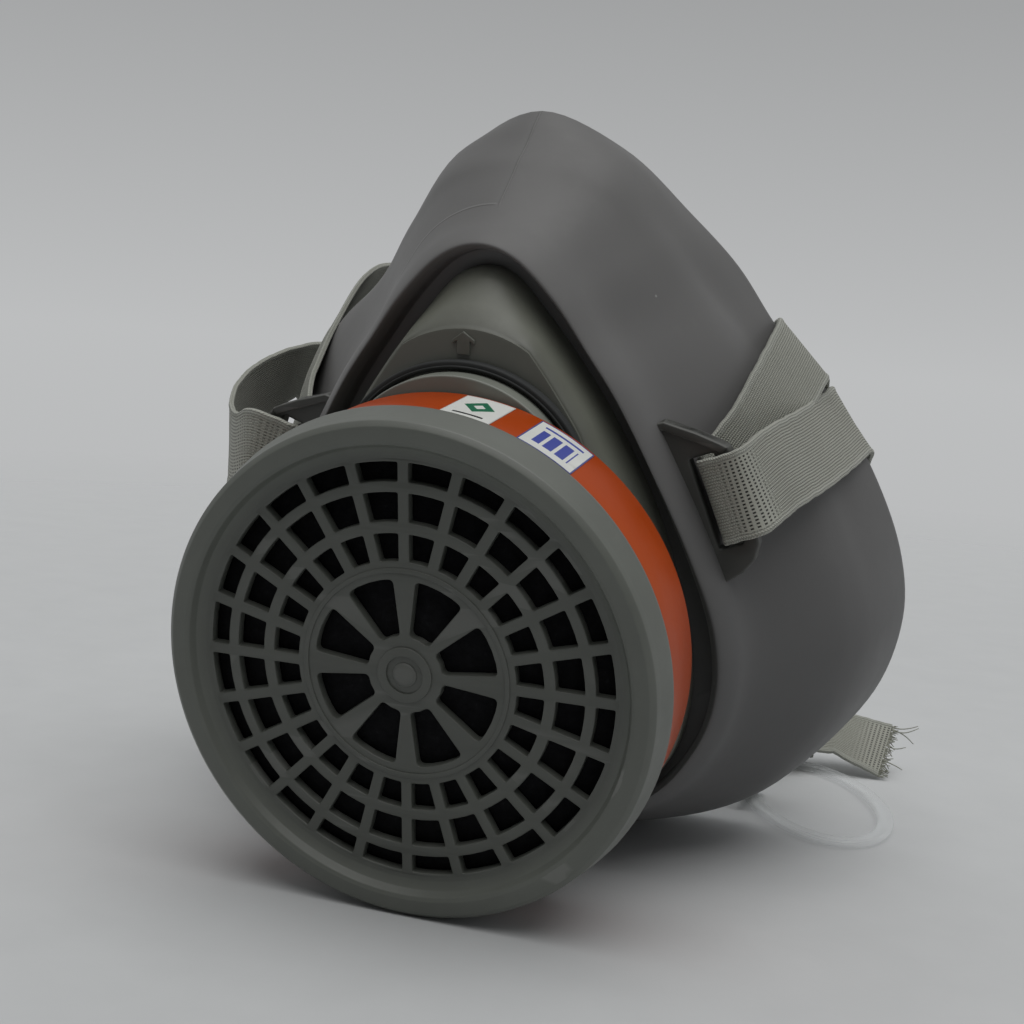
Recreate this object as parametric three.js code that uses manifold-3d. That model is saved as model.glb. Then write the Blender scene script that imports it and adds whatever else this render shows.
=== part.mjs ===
// Half-mask respirator with one round gas cartridge, millimetres, +Z up.
//
// The assembly is written in the mask's own frame and then stood on the ground:
//   x  to the wearer's left (the viewer's right when the cartridge faces the viewer)
//   y  up, towards the nose
//   z  forward, out of the cartridge; z = 0 is the front face of the grille
// The last group turns that frame so that the cartridge axis dips forward by REST_TILT and the mask
// stands on the rim of its filter cap and on its chin.

import * as THREE from 'three';
import { mergeVertices } from 'three/addons/utils/BufferGeometryUtils.js';
import Module from 'manifold-3d';

const wasm = await Module();
wasm.setup();

// ------------------------------------------------------------------ driving dimensions
const REST_TILT = 10.3;        // degrees, dip of the cartridge axis when the mask stands unworn

const CAP_R = 41.0;            // filter cap, outer radius at the front edge
const CAP_FLARE_R = 42.2;      // filter cap, outer radius at the rear edge
const CAP_LIP_R = 37.2;        // inner radius of the rim, at the front
const CAP_FRONT_Z = 2.5;       // rim stands this far in front of the grille
const CAP_REAR_Z = -4.0;
const GRILLE_T = 1.8;
const GRILLE_ROWS = [[18.54, 22.97], [24.82, 29.45], [31.19, 34.24]];
const SPOKES = 24;
const SPOKE_W = 1.8;

const SHELL_R = 40.7;          // cartridge shell under the label
const SHELL_NECK_R = 40.2;     // cartridge shell under the cap's skirt
const SHELL_REAR_Z = -19.2;
const SHELL_WALL = 1.6;
const SPIGOT_R = 17.4;
const SPIGOT_BORE_R = 15.4;
const SPIGOT_END_Z = -29.0;
const LUG_TURN = 60;           // degrees, turn that frees the bayonet

const SEAT_TOP = [22.6, 21.5]; // egg-shaped seat: centre height and radius of its upper arc
const SEAT_LOW_R = 33.0;       // radius of its lower arc, on the cartridge axis
const SEAT_Z = [-19.6, -24.2];
const FACE_TOP = [30.7, 20.2]; // egg-shaped face of the front housing
const FACE_LOW_R = 30.0;
const FACE_Z = -25.4;

const WALL_T = 3.0;            // rubber wall
const STRAP_W = 15.0;
const STRAP_T = 1.1;

// ------------------------------------------------------------------ materials
const mat = (color, roughness, metalness = 0, extra = {}) =>
  new THREE.MeshStandardMaterial({ color, roughness, metalness, ...extra });
const M = {
  cap: mat(0x565a57, 0.5),
  shell: mat(0x6e726c, 0.55),
  label: mat(0xbd5a1e, 0.35),
  paper: mat(0xe4e4e0, 0.6),
  carbon: mat(0x141414, 0.95),
  fleece: mat(0x1b1c1e, 0.95),
  sieve: mat(0x9b9d98, 0.6),
  seat: mat(0x7c8078, 0.55),
  seal: mat(0x2a2b2b, 0.7),
  housing: mat(0x64665c, 0.55),
  rubber: mat(0x5f5e5d, 0.75),
  flap: mat(0xd9d5cc, 0.6),
  strap: mat(0x96988c, 0.9),
  clear: mat(0xe8ecee, 0.12, 0, { transparent: true, opacity: 0.35 }),
  buckle: mat(0x3d3f3d, 0.5),
};

// ------------------------------------------------------------------ solids
const V3 = (x, y, z) => new THREE.Vector3(x, y, z);

// closed three.js geometry -> solid (faces turned outward, shared vertices merged)
function solid(geometry) {
  for (const tolerance of [1e-4, 3e-4, 7e-5, 1e-3]) {
    try { return welded(geometry, tolerance); } catch (e) { /* next tolerance */ }
  }
  return welded(geometry, 2e-3);
}

function welded(geometry, tolerance) {
  let g = geometry.clone();
  g.deleteAttribute('normal');
  g.deleteAttribute('uv');
  g = mergeVertices(g, tolerance);
  const p = g.attributes.position;
  const src = g.index.array;
  const tri = [];
  let vol = 0;
  for (let i = 0; i < src.length; i += 3) {
    const [a, b, c] = [src[i], src[i + 1], src[i + 2]];
    if (a === b || b === c || a === c) continue;
    tri.push(a, b, c);
    const A = V3().fromBufferAttribute(p, a), B = V3().fromBufferAttribute(p, b), C = V3().fromBufferAttribute(p, c);
    vol += A.dot(B.cross(C));
  }
  if (vol < 0) for (let i = 0; i < tri.length; i += 3) [tri[i + 1], tri[i + 2]] = [tri[i + 2], tri[i + 1]];
  return new wasm.Manifold(new wasm.Mesh({
    numProp: 3, vertProperties: new Float32Array(p.array), triVerts: new Uint32Array(tri) }));
}

function toGeometry(m) {
  const k = m.getMesh();
  const g = new THREE.BufferGeometry();
  g.setAttribute('position', new THREE.BufferAttribute(new Float32Array(k.vertProperties), 3));
  g.setIndex(new THREE.BufferAttribute(new Uint32Array(k.triVerts), 1));
  g.computeVertexNormals();
  return g;
}

// ring round the z axis from a closed (r, z) profile
function turned(profile, segments = 48) {
  const pts = profile.map(([r, z]) => new THREE.Vector2(r, z));
  const onAxis = profile[0][0] === 0 && profile[profile.length - 1][0] === 0;
  if (!onAxis) pts.push(pts[0].clone());
  return solid(new THREE.LatheGeometry(pts, segments).rotateX(Math.PI / 2));
}
const tube = (r0, r1, z0, z1, seg) => turned([[r0, z0], [r1, z0], [r1, z1], [r0, z1]], seg);
const disc = (r, z0, z1, seg) => turned([[0, z0], [r, z0], [r, z1], [0, z1]], seg);

// prism of an outline between two z planes
function prism(points, z0, z1, holes = []) {
  const ccw = list => {                           // every outline runs anticlockwise
    const v = list.map(([x, y]) => new THREE.Vector2(x, y));
    return THREE.ShapeUtils.area(v) < 0 ? v.reverse() : v;
  };
  const s = new THREE.Shape(ccw(points));
  for (const h of holes) s.holes.push(new THREE.Path(ccw(h)));
  const lo = Math.min(z0, z1), hi = Math.max(z0, z1);
  return solid(new THREE.ExtrudeGeometry(s, { depth: hi - lo, bevelEnabled: false, steps: 1 }).translate(0, 0, lo));
}
const box = (sx, sy, sz, x, y, z) => solid(new THREE.BoxGeometry(sx, sy, sz).translate(x, y, z));

// skin over a row of closed sections; a closed row makes a ring, an open row gets end faces
function loft(sections, closed) {
  const n = sections.length, m = sections[0].length;
  const pos = [], idx = [];
  for (const s of sections) for (const q of s) pos.push(q.x, q.y, q.z);
  const rows = closed ? n : n - 1;
  for (let i = 0; i < rows; i++) for (let j = 0; j < m; j++) {
    const a = i * m + j, b = i * m + (j + 1) % m, c = ((i + 1) % n) * m + j, d = ((i + 1) % n) * m + (j + 1) % m;
    idx.push(a, c, b, b, c, d);
  }
  if (!closed) for (let j = 1; j < m - 1; j++) {
    idx.push(0, j, j + 1);
    const o = (n - 1) * m;
    idx.push(o, o + j + 1, o + j);
  }
  const g = new THREE.BufferGeometry();
  g.setAttribute('position', new THREE.BufferAttribute(new Float32Array(pos), 3));
  g.setIndex(idx);
  return solid(g);
}

// flat webbing: stations give the centre and the direction across the band
function ribbon(stations, width, thick, perSpan = 3) {
  const c = new THREE.CatmullRomCurve3(stations.map(s => V3(...s[0])), false, 'centripetal');
  const n = (stations.length - 1) * perSpan;
  const sections = [];
  for (let i = 0; i <= n; i++) {
    const f = i / n, k = Math.min(Math.floor(f * (stations.length - 1)), stations.length - 2);
    const u = f * (stations.length - 1) - k;
    const p = c.getPoint(f);
    const t = c.getPoint(Math.min(1, f + 0.002)).sub(c.getPoint(Math.max(0, f - 0.002))).normalize();
    const w = V3(...stations[k][1]).normalize().lerp(V3(...stations[k + 1][1]).normalize(), u);
    w.addScaledVector(t, -w.dot(t)).normalize();
    const up = t.clone().cross(w).normalize();
    const at = (a, b) => p.clone().addScaledVector(w, a * width / 2).addScaledVector(up, b * thick / 2);
    sections.push([at(-1, -1), at(1, -1), at(1, 1), at(-1, 1)]);
  }
  return loft(sections, false);
}

// convex outline round two circles on the y axis: an egg with its narrow end up
function egg([yTop, rTop], rLow, grow = 0, n = 18) {
  const R0 = rLow + grow, R1 = rTop + grow;
  const s = (R0 - R1) / yTop;                     // sine of the flank's slope
  const a0 = Math.asin(Math.max(-1, Math.min(1, s)));
  const pts = [];
  for (let i = 0; i <= n; i++) {                  // upper arc, right to left
    const a = a0 + (Math.PI - 2 * a0) * i / n;
    pts.push([R1 * Math.cos(a), yTop + R1 * Math.sin(a)]);
  }
  for (let i = 0; i <= n; i++) {                  // lower arc, left to right
    const a = Math.PI - a0 + (Math.PI + 2 * a0) * i / n;
    pts.push([R0 * Math.cos(a), R0 * Math.sin(a)]);
  }
  return pts;
}
const circle = (r, n = 48, x = 0, y = 0) =>
  Array.from({ length: n }, (_, i) => [x + r * Math.cos(2 * Math.PI * i / n), y + r * Math.sin(2 * Math.PI * i / n)]);

// ------------------------------------------------------------------ filter cap with grille
function sector(r0, r1, a0, a1, n) {
  const p = [];
  for (let i = 0; i <= n; i++) { const a = a0 + (a1 - a0) * i / n; p.push([r1 * Math.cos(a), r1 * Math.sin(a)]); }
  for (let i = n; i >= 0; i--) { const a = a0 + (a1 - a0) * i / n; p.push([r0 * Math.cos(a), r0 * Math.sin(a)]); }
  return p;
}
const capHoles = [];
for (const [r0, r1] of GRILLE_ROWS) for (let i = 0; i < SPOKES; i++) {
  const c = Math.PI / 2 + 2 * Math.PI * (i + 0.5) / SPOKES, h = Math.PI / SPOKES;
  const g0 = h - SPOKE_W / 2 / r0, g1 = h - SPOKE_W / 2 / r1;
  capHoles.push([[r1, -g1], [r1, g1], [r0, g0], [r0, -g0]].map(([r, a]) => [r * Math.cos(c + a), r * Math.sin(c + a)]));
}
for (let i = 0; i < 8; i++) {                     // generic pierced rosette in the middle
  const c = Math.PI / 2 + 2 * Math.PI * (i + 0.5) / 8;
  capHoles.push(sector(6.4, 15.6, c - 0.27, c + 0.27, 1));
}
const grille = prism(circle(36.2, 48), 0, -GRILLE_T, capHoles);
const capRim = turned([
  [35.0, -GRILLE_T], [35.0, 0], [36.6, 0.9], [CAP_LIP_R, CAP_FRONT_Z - 0.3], [37.8, CAP_FRONT_Z], [40.2, CAP_FRONT_Z],
  [CAP_R, CAP_FRONT_Z - 0.8], [CAP_FLARE_R, CAP_REAR_Z + 0.6], [CAP_FLARE_R, CAP_REAR_Z],
  [40.6, CAP_REAR_Z], [40.6, -GRILLE_T]], 48);
const cap = grille.add(capRim);

// ------------------------------------------------------------------ cartridge
const shellCup = turned([
  [38.6, -2.2], [SHELL_NECK_R, -2.2], [SHELL_NECK_R, -4.4], [SHELL_R, -4.8], [SHELL_R, SHELL_REAR_Z + 0.8],
  [SHELL_R - 0.8, SHELL_REAR_Z], [SPIGOT_R, SHELL_REAR_Z], [SPIGOT_R, SPIGOT_END_Z], [SPIGOT_BORE_R, SPIGOT_END_Z],
  [SPIGOT_BORE_R, SHELL_REAR_Z + SHELL_WALL], [38.6, SHELL_REAR_Z + SHELL_WALL]], 44);
let shell = shellCup;
for (let i = 0; i < 3; i++) {                     // bayonet lugs behind the seat plate
  const a = 2 * Math.PI * i / 3 + Math.PI / 2, h = 0.2;
  shell = shell.add(prism(sector(16.6, 20.3, a - h, a + h, 3), -26.8, -28.8));
}
const prefilter = disc(34.6, -2.2, -4.4, 32);
const sieveHoles = [];
for (const [r, n] of [[14, 5], [28, 9]]) for (let i = 0; i < n; i++)
  sieveHoles.push(circle(3.4, 6, r * Math.cos(2 * Math.PI * i / n), r * Math.sin(2 * Math.PI * i / n)));
const frontSieve = prism(circle(38.2, 32), -4.8, -5.8, sieveHoles);
const carbon = disc(38.2, -6.1, -15.9, 32);
const rearSieve = prism(circle(38.2, 32), -16.2, -17.2, sieveHoles);
const label = tube(41.05, 41.4, -4.5, -19.0, 48);
function patch(a0, a1, z0, z1) { return prism(sector(41.7, 41.95, a0, a1, 4), z0, z1); }
const rad = d => d * Math.PI / 180;
const patchA = patch(rad(90 - 16.3), rad(90 - 4.8), -6.0, -17.6);
const patchB = patch(rad(90 - 36.5), rad(90 - 22.8), -6.0, -17.6);
const cartridgeGasket = turned([[18.3, -19.5], [21.7, -19.5], [22.2, -20.0], [22.2, -20.9], [18.3, -20.9]], 28);

// ------------------------------------------------------------------ seat and front housing
const seatBore = [];
for (let i = 0; i < 3; i++) {                     // round bore with three bayonet notches
  const a = 2 * Math.PI * i / 3 + Math.PI / 2 + rad(LUG_TURN), h = 0.235;
  const next = a + 2 * Math.PI / 3;
  for (let k = 0; k <= 4; k++) { const t = a - h + 2 * h * k / 4; seatBore.push([20.8 * Math.cos(t), 20.8 * Math.sin(t)]); }
  for (let k = 0; k <= 6; k++) { const t = a + h + (next - a - 2 * h) * k / 6; seatBore.push([17.8 * Math.cos(t), 17.8 * Math.sin(t)]); }
}
const seat = prism(egg(SEAT_TOP, SEAT_LOW_R), SEAT_Z[0], SEAT_Z[1], [seatBore])
  .subtract(tube(17.0, 22.5, SEAT_Z[0] + 1, -21.2, 28));
const seatSeal = prism(egg(SEAT_TOP, SEAT_LOW_R, 1.8), -22.9, -25.1, [egg(SEAT_TOP, SEAT_LOW_R, 0.3)]);

// outline of the front housing where it meets the rubber, apex to bottom, right half (x, y)
const H = [[0, 59.9], [5.0, 58.2], [10.7, 52.0], [16.4, 44.8], [22.6, 35.6], [29.6, 22.4], [34.2, 9.4], [37.2, -3],
  [37.6, -14], [34.6, -24.5], [26.4, -33.2], [14.2, -38.4], [0, -40]];
// crest of the rubber ridge
const B = [[0, 64.2, -31.6], [6.9, 62.0, -31.4], [13.8, 55.4, -31.3], [19.4, 47.6, -31.2], [24.9, 39.6, -31.2],
  [31.4, 27.6, -31.3], [38.0, 14.2, -31.5], [42.6, 2.0, -31.8], [43.4, -9.5, -32], [40.0, -20.5, -32.4],
  [32.0, -31.0, -33], [17.5, -38.8, -34], [0, -41.6, -35]];
// valley between ridge and cheek
const VL = [[0, 68.2, -39.5], [10.2, 65.2, -40], [17.6, 57.9, -41], [22.4, 49.6, -42], [28.4, 41.4, -43],
  [35.4, 28.8, -43.2], [42.4, 14.6, -43.2], [47.2, 2.2, -42.4], [48.4, -9.8, -41.6], [45.0, -22.4, -41.6],
  [36.0, -34.2, -42], [19.8, -42.6, -43], [0, -46.2, -44]];
const C1 = [[0, 73.4, -47.4], [12.8, 70.6, -49.6], [21.6, 62.0, -52.5], [27.8, 53, -55], [35.2, 44.2, -57.5],
  [44.0, 31.2, -58.4], [51.6, 16.4, -57.6], [57.0, 2.4, -56], [58.2, -10.2, -55], [54.4, -24.6, -54],
  [43.4, -38.8, -53.6], [24, -46.8, -53.6], [0, -50.0, -54]];
const C2 = [[0, 79.0, -55.8], [14.8, 75.6, -58.2], [24.4, 65.0, -63], [31.2, 54.8, -66.8], [39.0, 44.6, -70.4],
  [48.4, 31.6, -72.4], [56.8, 17.0, -72], [63.2, 2.6, -70.6], [65.0, -10.8, -69], [60.6, -25.6, -67],
  [48.0, -40.6, -66], [27.0, -49.8, -65.6], [0, -53.0, -65.6]];
const G = [[0, 84.6, -63.4], [15.0, 78.0, -67.2], [26.0, 66.8, -73], [34.4, 57.0, -77.6], [41.8, 45.2, -81.6],
  [52.0, 32.4, -84.8], [60.8, 18.2, -86.2], [67.2, 2.6, -86], [68.6, -11.4, -84], [63.6, -26.6, -81],
  [50.0, -41.8, -78.4], [29.2, -51.0, -77], [0, -54.6, -77]];

// closed, mirror-symmetric curve through the half table; t runs 0..1 once round, from the top
function around(table, t, z) {
  const full = [...table.map(q => [...q])];
  for (let k = table.length - 2; k > 0; k--) full.push([-table[k][0], table[k][1], table[k][2]]);
  const n = full.length, f = ((t % 1) + 1) % 1 * n, k = Math.floor(f), u = f - k;
  const q = i => full[(k + i + n) % n];
  const out = [];
  for (let d = 0; d < 3; d++) {
    const [a, b, c, e] = [q(-1)[d], q(0)[d], q(1)[d], q(2)[d]];
    out.push(0.5 * (2 * b + (c - a) * u + (2 * a - 5 * b + 4 * c - e) * u * u + (3 * b - a - 3 * c + e) * u * u * u));
  }
  if (table[0].length === 2) out[2] = z;
  return V3(...out);
}
const outwardXY = p => V3(p.x, p.y, 0).normalize();

const N_RUBBER = 56;
const outer = [];
for (let i = 0; i < N_RUBBER; i++) {
  const t = i / N_RUBBER;
  const h = around(H, t, -33.2), b = around(B, t), v = around(VL, t), c1 = around(C1, t), c2 = around(C2, t), g = around(G, t);
  const e = outwardXY(h);
  outer.push({ t, h, e, row: [
    b.clone().lerp(h, 0.31).setZ(-34.0),
    b.clone().lerp(h, 0.17).setZ(b.z - 0.35),
    b,
    b.clone().lerp(v, 0.42).setZ(b.z - 3.2),
    v,
    c1,
    c1.clone().lerp(c2, 0.5).addScaledVector(e, 0.7 - 0.45 * Math.exp(-((c1.x / 16) ** 2))),
    c2,
    c2.clone().lerp(g, 0.55).addScaledVector(e, 0.15 + 0.9 * Math.exp(-(((Math.abs(g.x) - 17) / 9) ** 2))),
    g] });
}
const rubberSections = outer.map((o, i) => {
  const prev = outer[(i + N_RUBBER - 1) % N_RUBBER].row, next = outer[(i + 1) % N_RUBBER].row, row = o.row;
  const normal = j => {
    const along = next[j].clone().sub(prev[j]);
    const down = row[Math.min(j + 1, row.length - 1)].clone().sub(row[Math.max(j - 1, 0)]);
    const n = along.cross(down).normalize();
    return n.dot(o.e) < 0 ? n.negate() : n;
  };
  const last = row.length - 1, g = row[last], ng = normal(last);
  const tau = g.clone().sub(row[last - 1]).normalize();
  const lip = (a, b) => g.clone().addScaledVector(ng, -a).addScaledVector(tau, b);
  const inner = [lip(1.5, 1.0), lip(6, 0.4), lip(10.2, -2.6), lip(10.1, -4.4), lip(6.2, -2.5), lip(3.2, -3.6)];
  for (let j = last - 1; j >= 4; j--) inner.push(row[j].clone().addScaledVector(normal(j), -WALL_T));
  // rim of the opening: a wall round the housing, then a step that leaves a groove beside it
  const rim = [o.h.clone().addScaledVector(o.e, 0.4).setZ(-41.2), o.h.clone().addScaledVector(o.e, 0.4).setZ(-37.6),
    row[2].clone().lerp(o.h, 0.36).setZ(-37.2)];
  return [...row, ...inner, ...rim];
});
let facepiece = loft(rubberSections, true);

// housing: sloping skirt from the egg face out to the rubber, then a flange under the rubber's rim
const N_H = 48;
const faceOutline = [];                           // egg outline sampled by direction, same count as the skirt
const polar = (poly, a) => {                      // distance to a closed outline along a direction
  const d = [Math.cos(a), Math.sin(a)];
  let best = 0;
  for (let i = 0; i < poly.length; i++) {
    const [x1, y1] = poly[i], [x2, y2] = poly[(i + 1) % poly.length];
    const ex = x2 - x1, ey = y2 - y1, den = d[0] * ey - d[1] * ex;
    if (Math.abs(den) < 1e-9) continue;
    const s = (x1 * ey - y1 * ex) / den, u = (x1 * d[1] - y1 * d[0]) / den;
    if (u >= -1e-6 && u <= 1 + 1e-6 && s > best) best = s;
  }
  return best;
};
const hPoly = Array.from({ length: 96 }, (_, i) => { const p = around(H, i / 96, 0); return [p.x, p.y]; });
const eggFace = egg(FACE_TOP, FACE_LOW_R);
const housingSections = [];
for (let i = 0; i < N_H; i++) {
  const a = Math.PI / 2 - 2 * Math.PI * i / N_H;
  const rh = polar(hPoly, a), rf = Math.min(polar(eggFace, a), rh - 3.2);
  const at = (r, z) => V3(r * Math.cos(a), r * Math.sin(a), z);
  housingSections.push([
    at(20.9, FACE_Z), at(rf - 0.8, FACE_Z), at(rf, FACE_Z - 0.8), at(rf + (rh - rf) * 0.35, FACE_Z - 1.9 - (rh - rf) * 0.18),
    at(rh - 0.2, -34.2), at(rh, -35.0), at(rh, -40.6),
    at(rh - 2.4, -40.6), at(rh - 2.4, -37.2), at(Math.max(rf - 1.6, 21.9), -29.6), at(20.9, -29.6)]);
}
let housing = loft(housingSections, true);
const arrow = prism([[-1.1, 46.6], [1.1, 46.6], [1.1, 48.9], [2.3, 48.6], [0, 50.3], [-2.3, 48.6], [-1.1, 48.9]], FACE_Z + 0.5, FACE_Z - 0.4);
housing = housing.add(arrow);

// ------------------------------------------------------------------ inhalation valve, in the housing
// spoked seat behind the spigot, a stem in its middle, a thin rubber flap held on the stem
let inSeat = tube(16.2, 20.4, -30.0, -33.4, 28);
for (let i = 0; i < 3; i++) {
  const a = Math.PI * i / 3;
  inSeat = inSeat.add(prism([[-16.8, -0.9], [16.8, -0.9], [16.8, 0.9], [-16.8, 0.9]].map(([x, y]) =>
    [x * Math.cos(a) - y * Math.sin(a), x * Math.sin(a) + y * Math.cos(a)]), -31.2, -33.0));
}
inSeat = inSeat.add(disc(1.5, -31.2, -38.2, 12)).add(disc(2.6, -37.0, -38.2, 12));
const inFlap = tube(1.9, 17.6, -33.8, -34.4, 28);

// ------------------------------------------------------------------ exhalation valve, under the chin
// its axis leaves the mask downward and a little forward; the cover ends level with the rubber
const EX = { y: -49.2, z: -51.5, tilt: 69 };      // point on the chin and turn about x of the valve's own frame
const exFrame = m => m.translate([0, 0, -4.6]).rotate([EX.tilt, 0, 0]).translate([0, EX.y, EX.z]);
// own frame: +z outward
let exSeatOwn = tube(8.6, 11.2, -4.2, 0.4, 24);
exSeatOwn = exSeatOwn.add(box(17.8, 1.4, 1.4, 0, 0, -0.4)).add(box(1.4, 17.8, 1.4, 0, 0, -0.4)).add(disc(1.3, -1.0, 2.6, 10));
const exFlapOwn = tube(1.7, 9.8, 0.8, 1.4, 24);
let exCoverOwn = turned([[0, 4.2], [0, 3.3], [10.6, 3.3], [11.2, 2.6], [11.2, 0.8], [11.9, 0.8], [11.9, 3.0], [10.9, 4.2]], 24);
for (let i = 0; i < 6; i++)
  exCoverOwn = exCoverOwn.subtract(solid(new THREE.BoxGeometry(5.4, 2.0, 3.0).translate(6.6, 0, 4).rotateZ(Math.PI * i / 3)));
const exSeat = exFrame(exSeatOwn), exFlap = exFrame(exFlapOwn), exCover = exFrame(exCoverOwn);
facepiece = facepiece.subtract(exFrame(disc(12.25, -14, 12, 24)));

// ------------------------------------------------------------------ strap lugs
// plate in a plane across the axis, its bar outboard; right side, mirrored for the left
const LUG_Z = [-37.0, -40.0];
const bar = { m: [45.4, 24.0], d: [0.3616, -0.9323], n: [0.9323, 0.3616] };
const onLug = (s, t) => [bar.m[0] + bar.n[0] * s + bar.d[0] * t, bar.m[1] + bar.n[1] * s + bar.d[1] * t];
const lugOutline = [onLug(-12.4, -16.2), onLug(-9.2, -15.9), onLug(-4.6, -12.6), onLug(-1.4, -9.9), onLug(-0.3, -8.8), onLug(0, -7.4),
  onLug(0, 5.6), onLug(-0.5, 8.4), onLug(-2.0, 10.8), onLug(-4.6, 12.4), onLug(-8.4, 13.4), onLug(-12.0, 13.0)];
const lugSlot = [onLug(-7.2, -9.0 + 0.4), onLug(-2.9, -8.6), onLug(-2.9, 7.4), onLug(-7.2, 7.4)];
const lugR = prism(lugOutline, LUG_Z[0], LUG_Z[1], [lugSlot]);
const lugPocket = prism([onLug(-12.8, -16.7), onLug(-2.0, -16.7), onLug(-2.0, 14.0), onLug(-12.8, 14.0)], -36.6, -40.4);
const mirrorX = m => m.mirror([1, 0, 0]);
facepiece = facepiece.subtract(lugPocket).subtract(mirrorX(lugPocket));
const lugL = mirrorX(lugR);

// ------------------------------------------------------------------ straps
const onBar = (s, t, z) => { const q = onLug(s, t); return [q[0], q[1], z]; };
const D = [bar.d[0], bar.d[1], 0];
const T0 = -0.7;                                  // the band sits a little towards the top of the slot
// round the bar: from behind it, up through the slot, over its front
const wrap = side => [[1.0, -53.5, -6.2], [-1.8, -47.6, -3.6], [-4.5, -43.4, -1.1], [-5.6, -40.4, 0.4], [-5.75, -37.6, 0.2], [-5.1, -36.0, 0], [-3.0, -35.7, 0]]
  .map(([s, z, dt]) => { const q = onBar(s, T0 + dt, z); return [[side * q[0], q[1], q[2]], [side * D[0], D[1], D[2]]]; });
const RIM_U = [0.62, -0.76, -0.19], RIM_L = [0.54, -0.83, -0.1];
const ml = ([p, w]) => [[-p[0], p[1], p[2]], [-w[0], w[1], w[2]]];
// right band: sewn end at the crown ring, over the rim, through the lug, back over the rim, down to the
// clasp, round its bar, and out to the cut end
const strapRight = ribbon([
  [[41.2, -54.9, -93.0], [0.3, 0.17, 0.94]],
  [[37.6, -54.3, -93.6], [0.3, 0.17, 0.94]],
  [[37.2, -50.8, -94.6], [0.4, 0.1, 0.9]],
  [[40.0, -42.0, -98.0], [0.6, -0.05, 0.8]],
  [[43.0, -22.0, -102.4], [0.76, -0.2, 0.5]],
  [[42.6, 8.0, -100.6], [0.75, -0.5, 0.1]],
  [[43.0, 32.0, -94.4], [0.66, -0.72, -0.15]],
  [[44.6, 42.2, -88.0], RIM_U],
  [[46.2, 42.4, -80.4], RIM_U],
  [[45.9, 36.6, -64.0], [0.52, -0.84, -0.1]],
  ...wrap(1),
  [onBar(1.0, T0, -36.3), D],
  [[49.4, 27.2, -45.0], [0.42, -0.9, 0]],
  [[52.6, 27.4, -62.0], [0.48, -0.87, -0.05]],
  [[56.0, 27.6, -79.0], RIM_L],
  [[56.8, 27.2, -88.4], RIM_L],
  [[52.8, 18.6, -97.4], [0.56, -0.8, 0.2]],
  [[48.2, -2.0, -106.6], [0.6, -0.55, 0.5]],
  [[41.4, -22.0, -112.6], [0.45, -0.3, 0.8]],
  [[34.0, -40.0, -116.2], [0.3, -0.1, 0.93]],
  [[28.6, -53.0, -118.6], [0.1, 0.1, 0.98]],
  [[25.2, -60.4, -119.2], [0, 0.18, 0.98]],
  [[21.6, -61.9, -119.0], [0, 0.18, 0.98]],
  [[18.4, -61.8, -119.0], [0, 0.18, 0.98]],
  [[16.6, -61.25, -119.0], [0, 0.18, 0.98]],
  [[16.0, -60.2, -119.0], [0, 0.18, 0.98]],
  [[16.6, -59.2, -119.0], [0, 0.18, 0.98]],
  [[18.4, -58.6, -119.0], [0, 0.18, 0.98]],
  [[22.0, -58.3, -119.2], [0, 0.16, 0.98]],
  [[28.0, -57.6, -120.2], [0.0, 0.1, 1.0]],
  [[36.0, -56.2, -123.4], [-0.05, -0.1, 0.98]],
  [[44.0, -54.8, -128.4], [-0.2, -0.35, 0.88]],
  [[51.0, -54.7, -131.8], [-0.3, -0.48, 0.82]],
  [[57.0, -56.4, -132.2], [-0.32, -0.5, 0.8]],
  [[62.6, -58.9, -132.2], [-0.33, -0.5, 0.8]]], STRAP_W, STRAP_T, 2);
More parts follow.
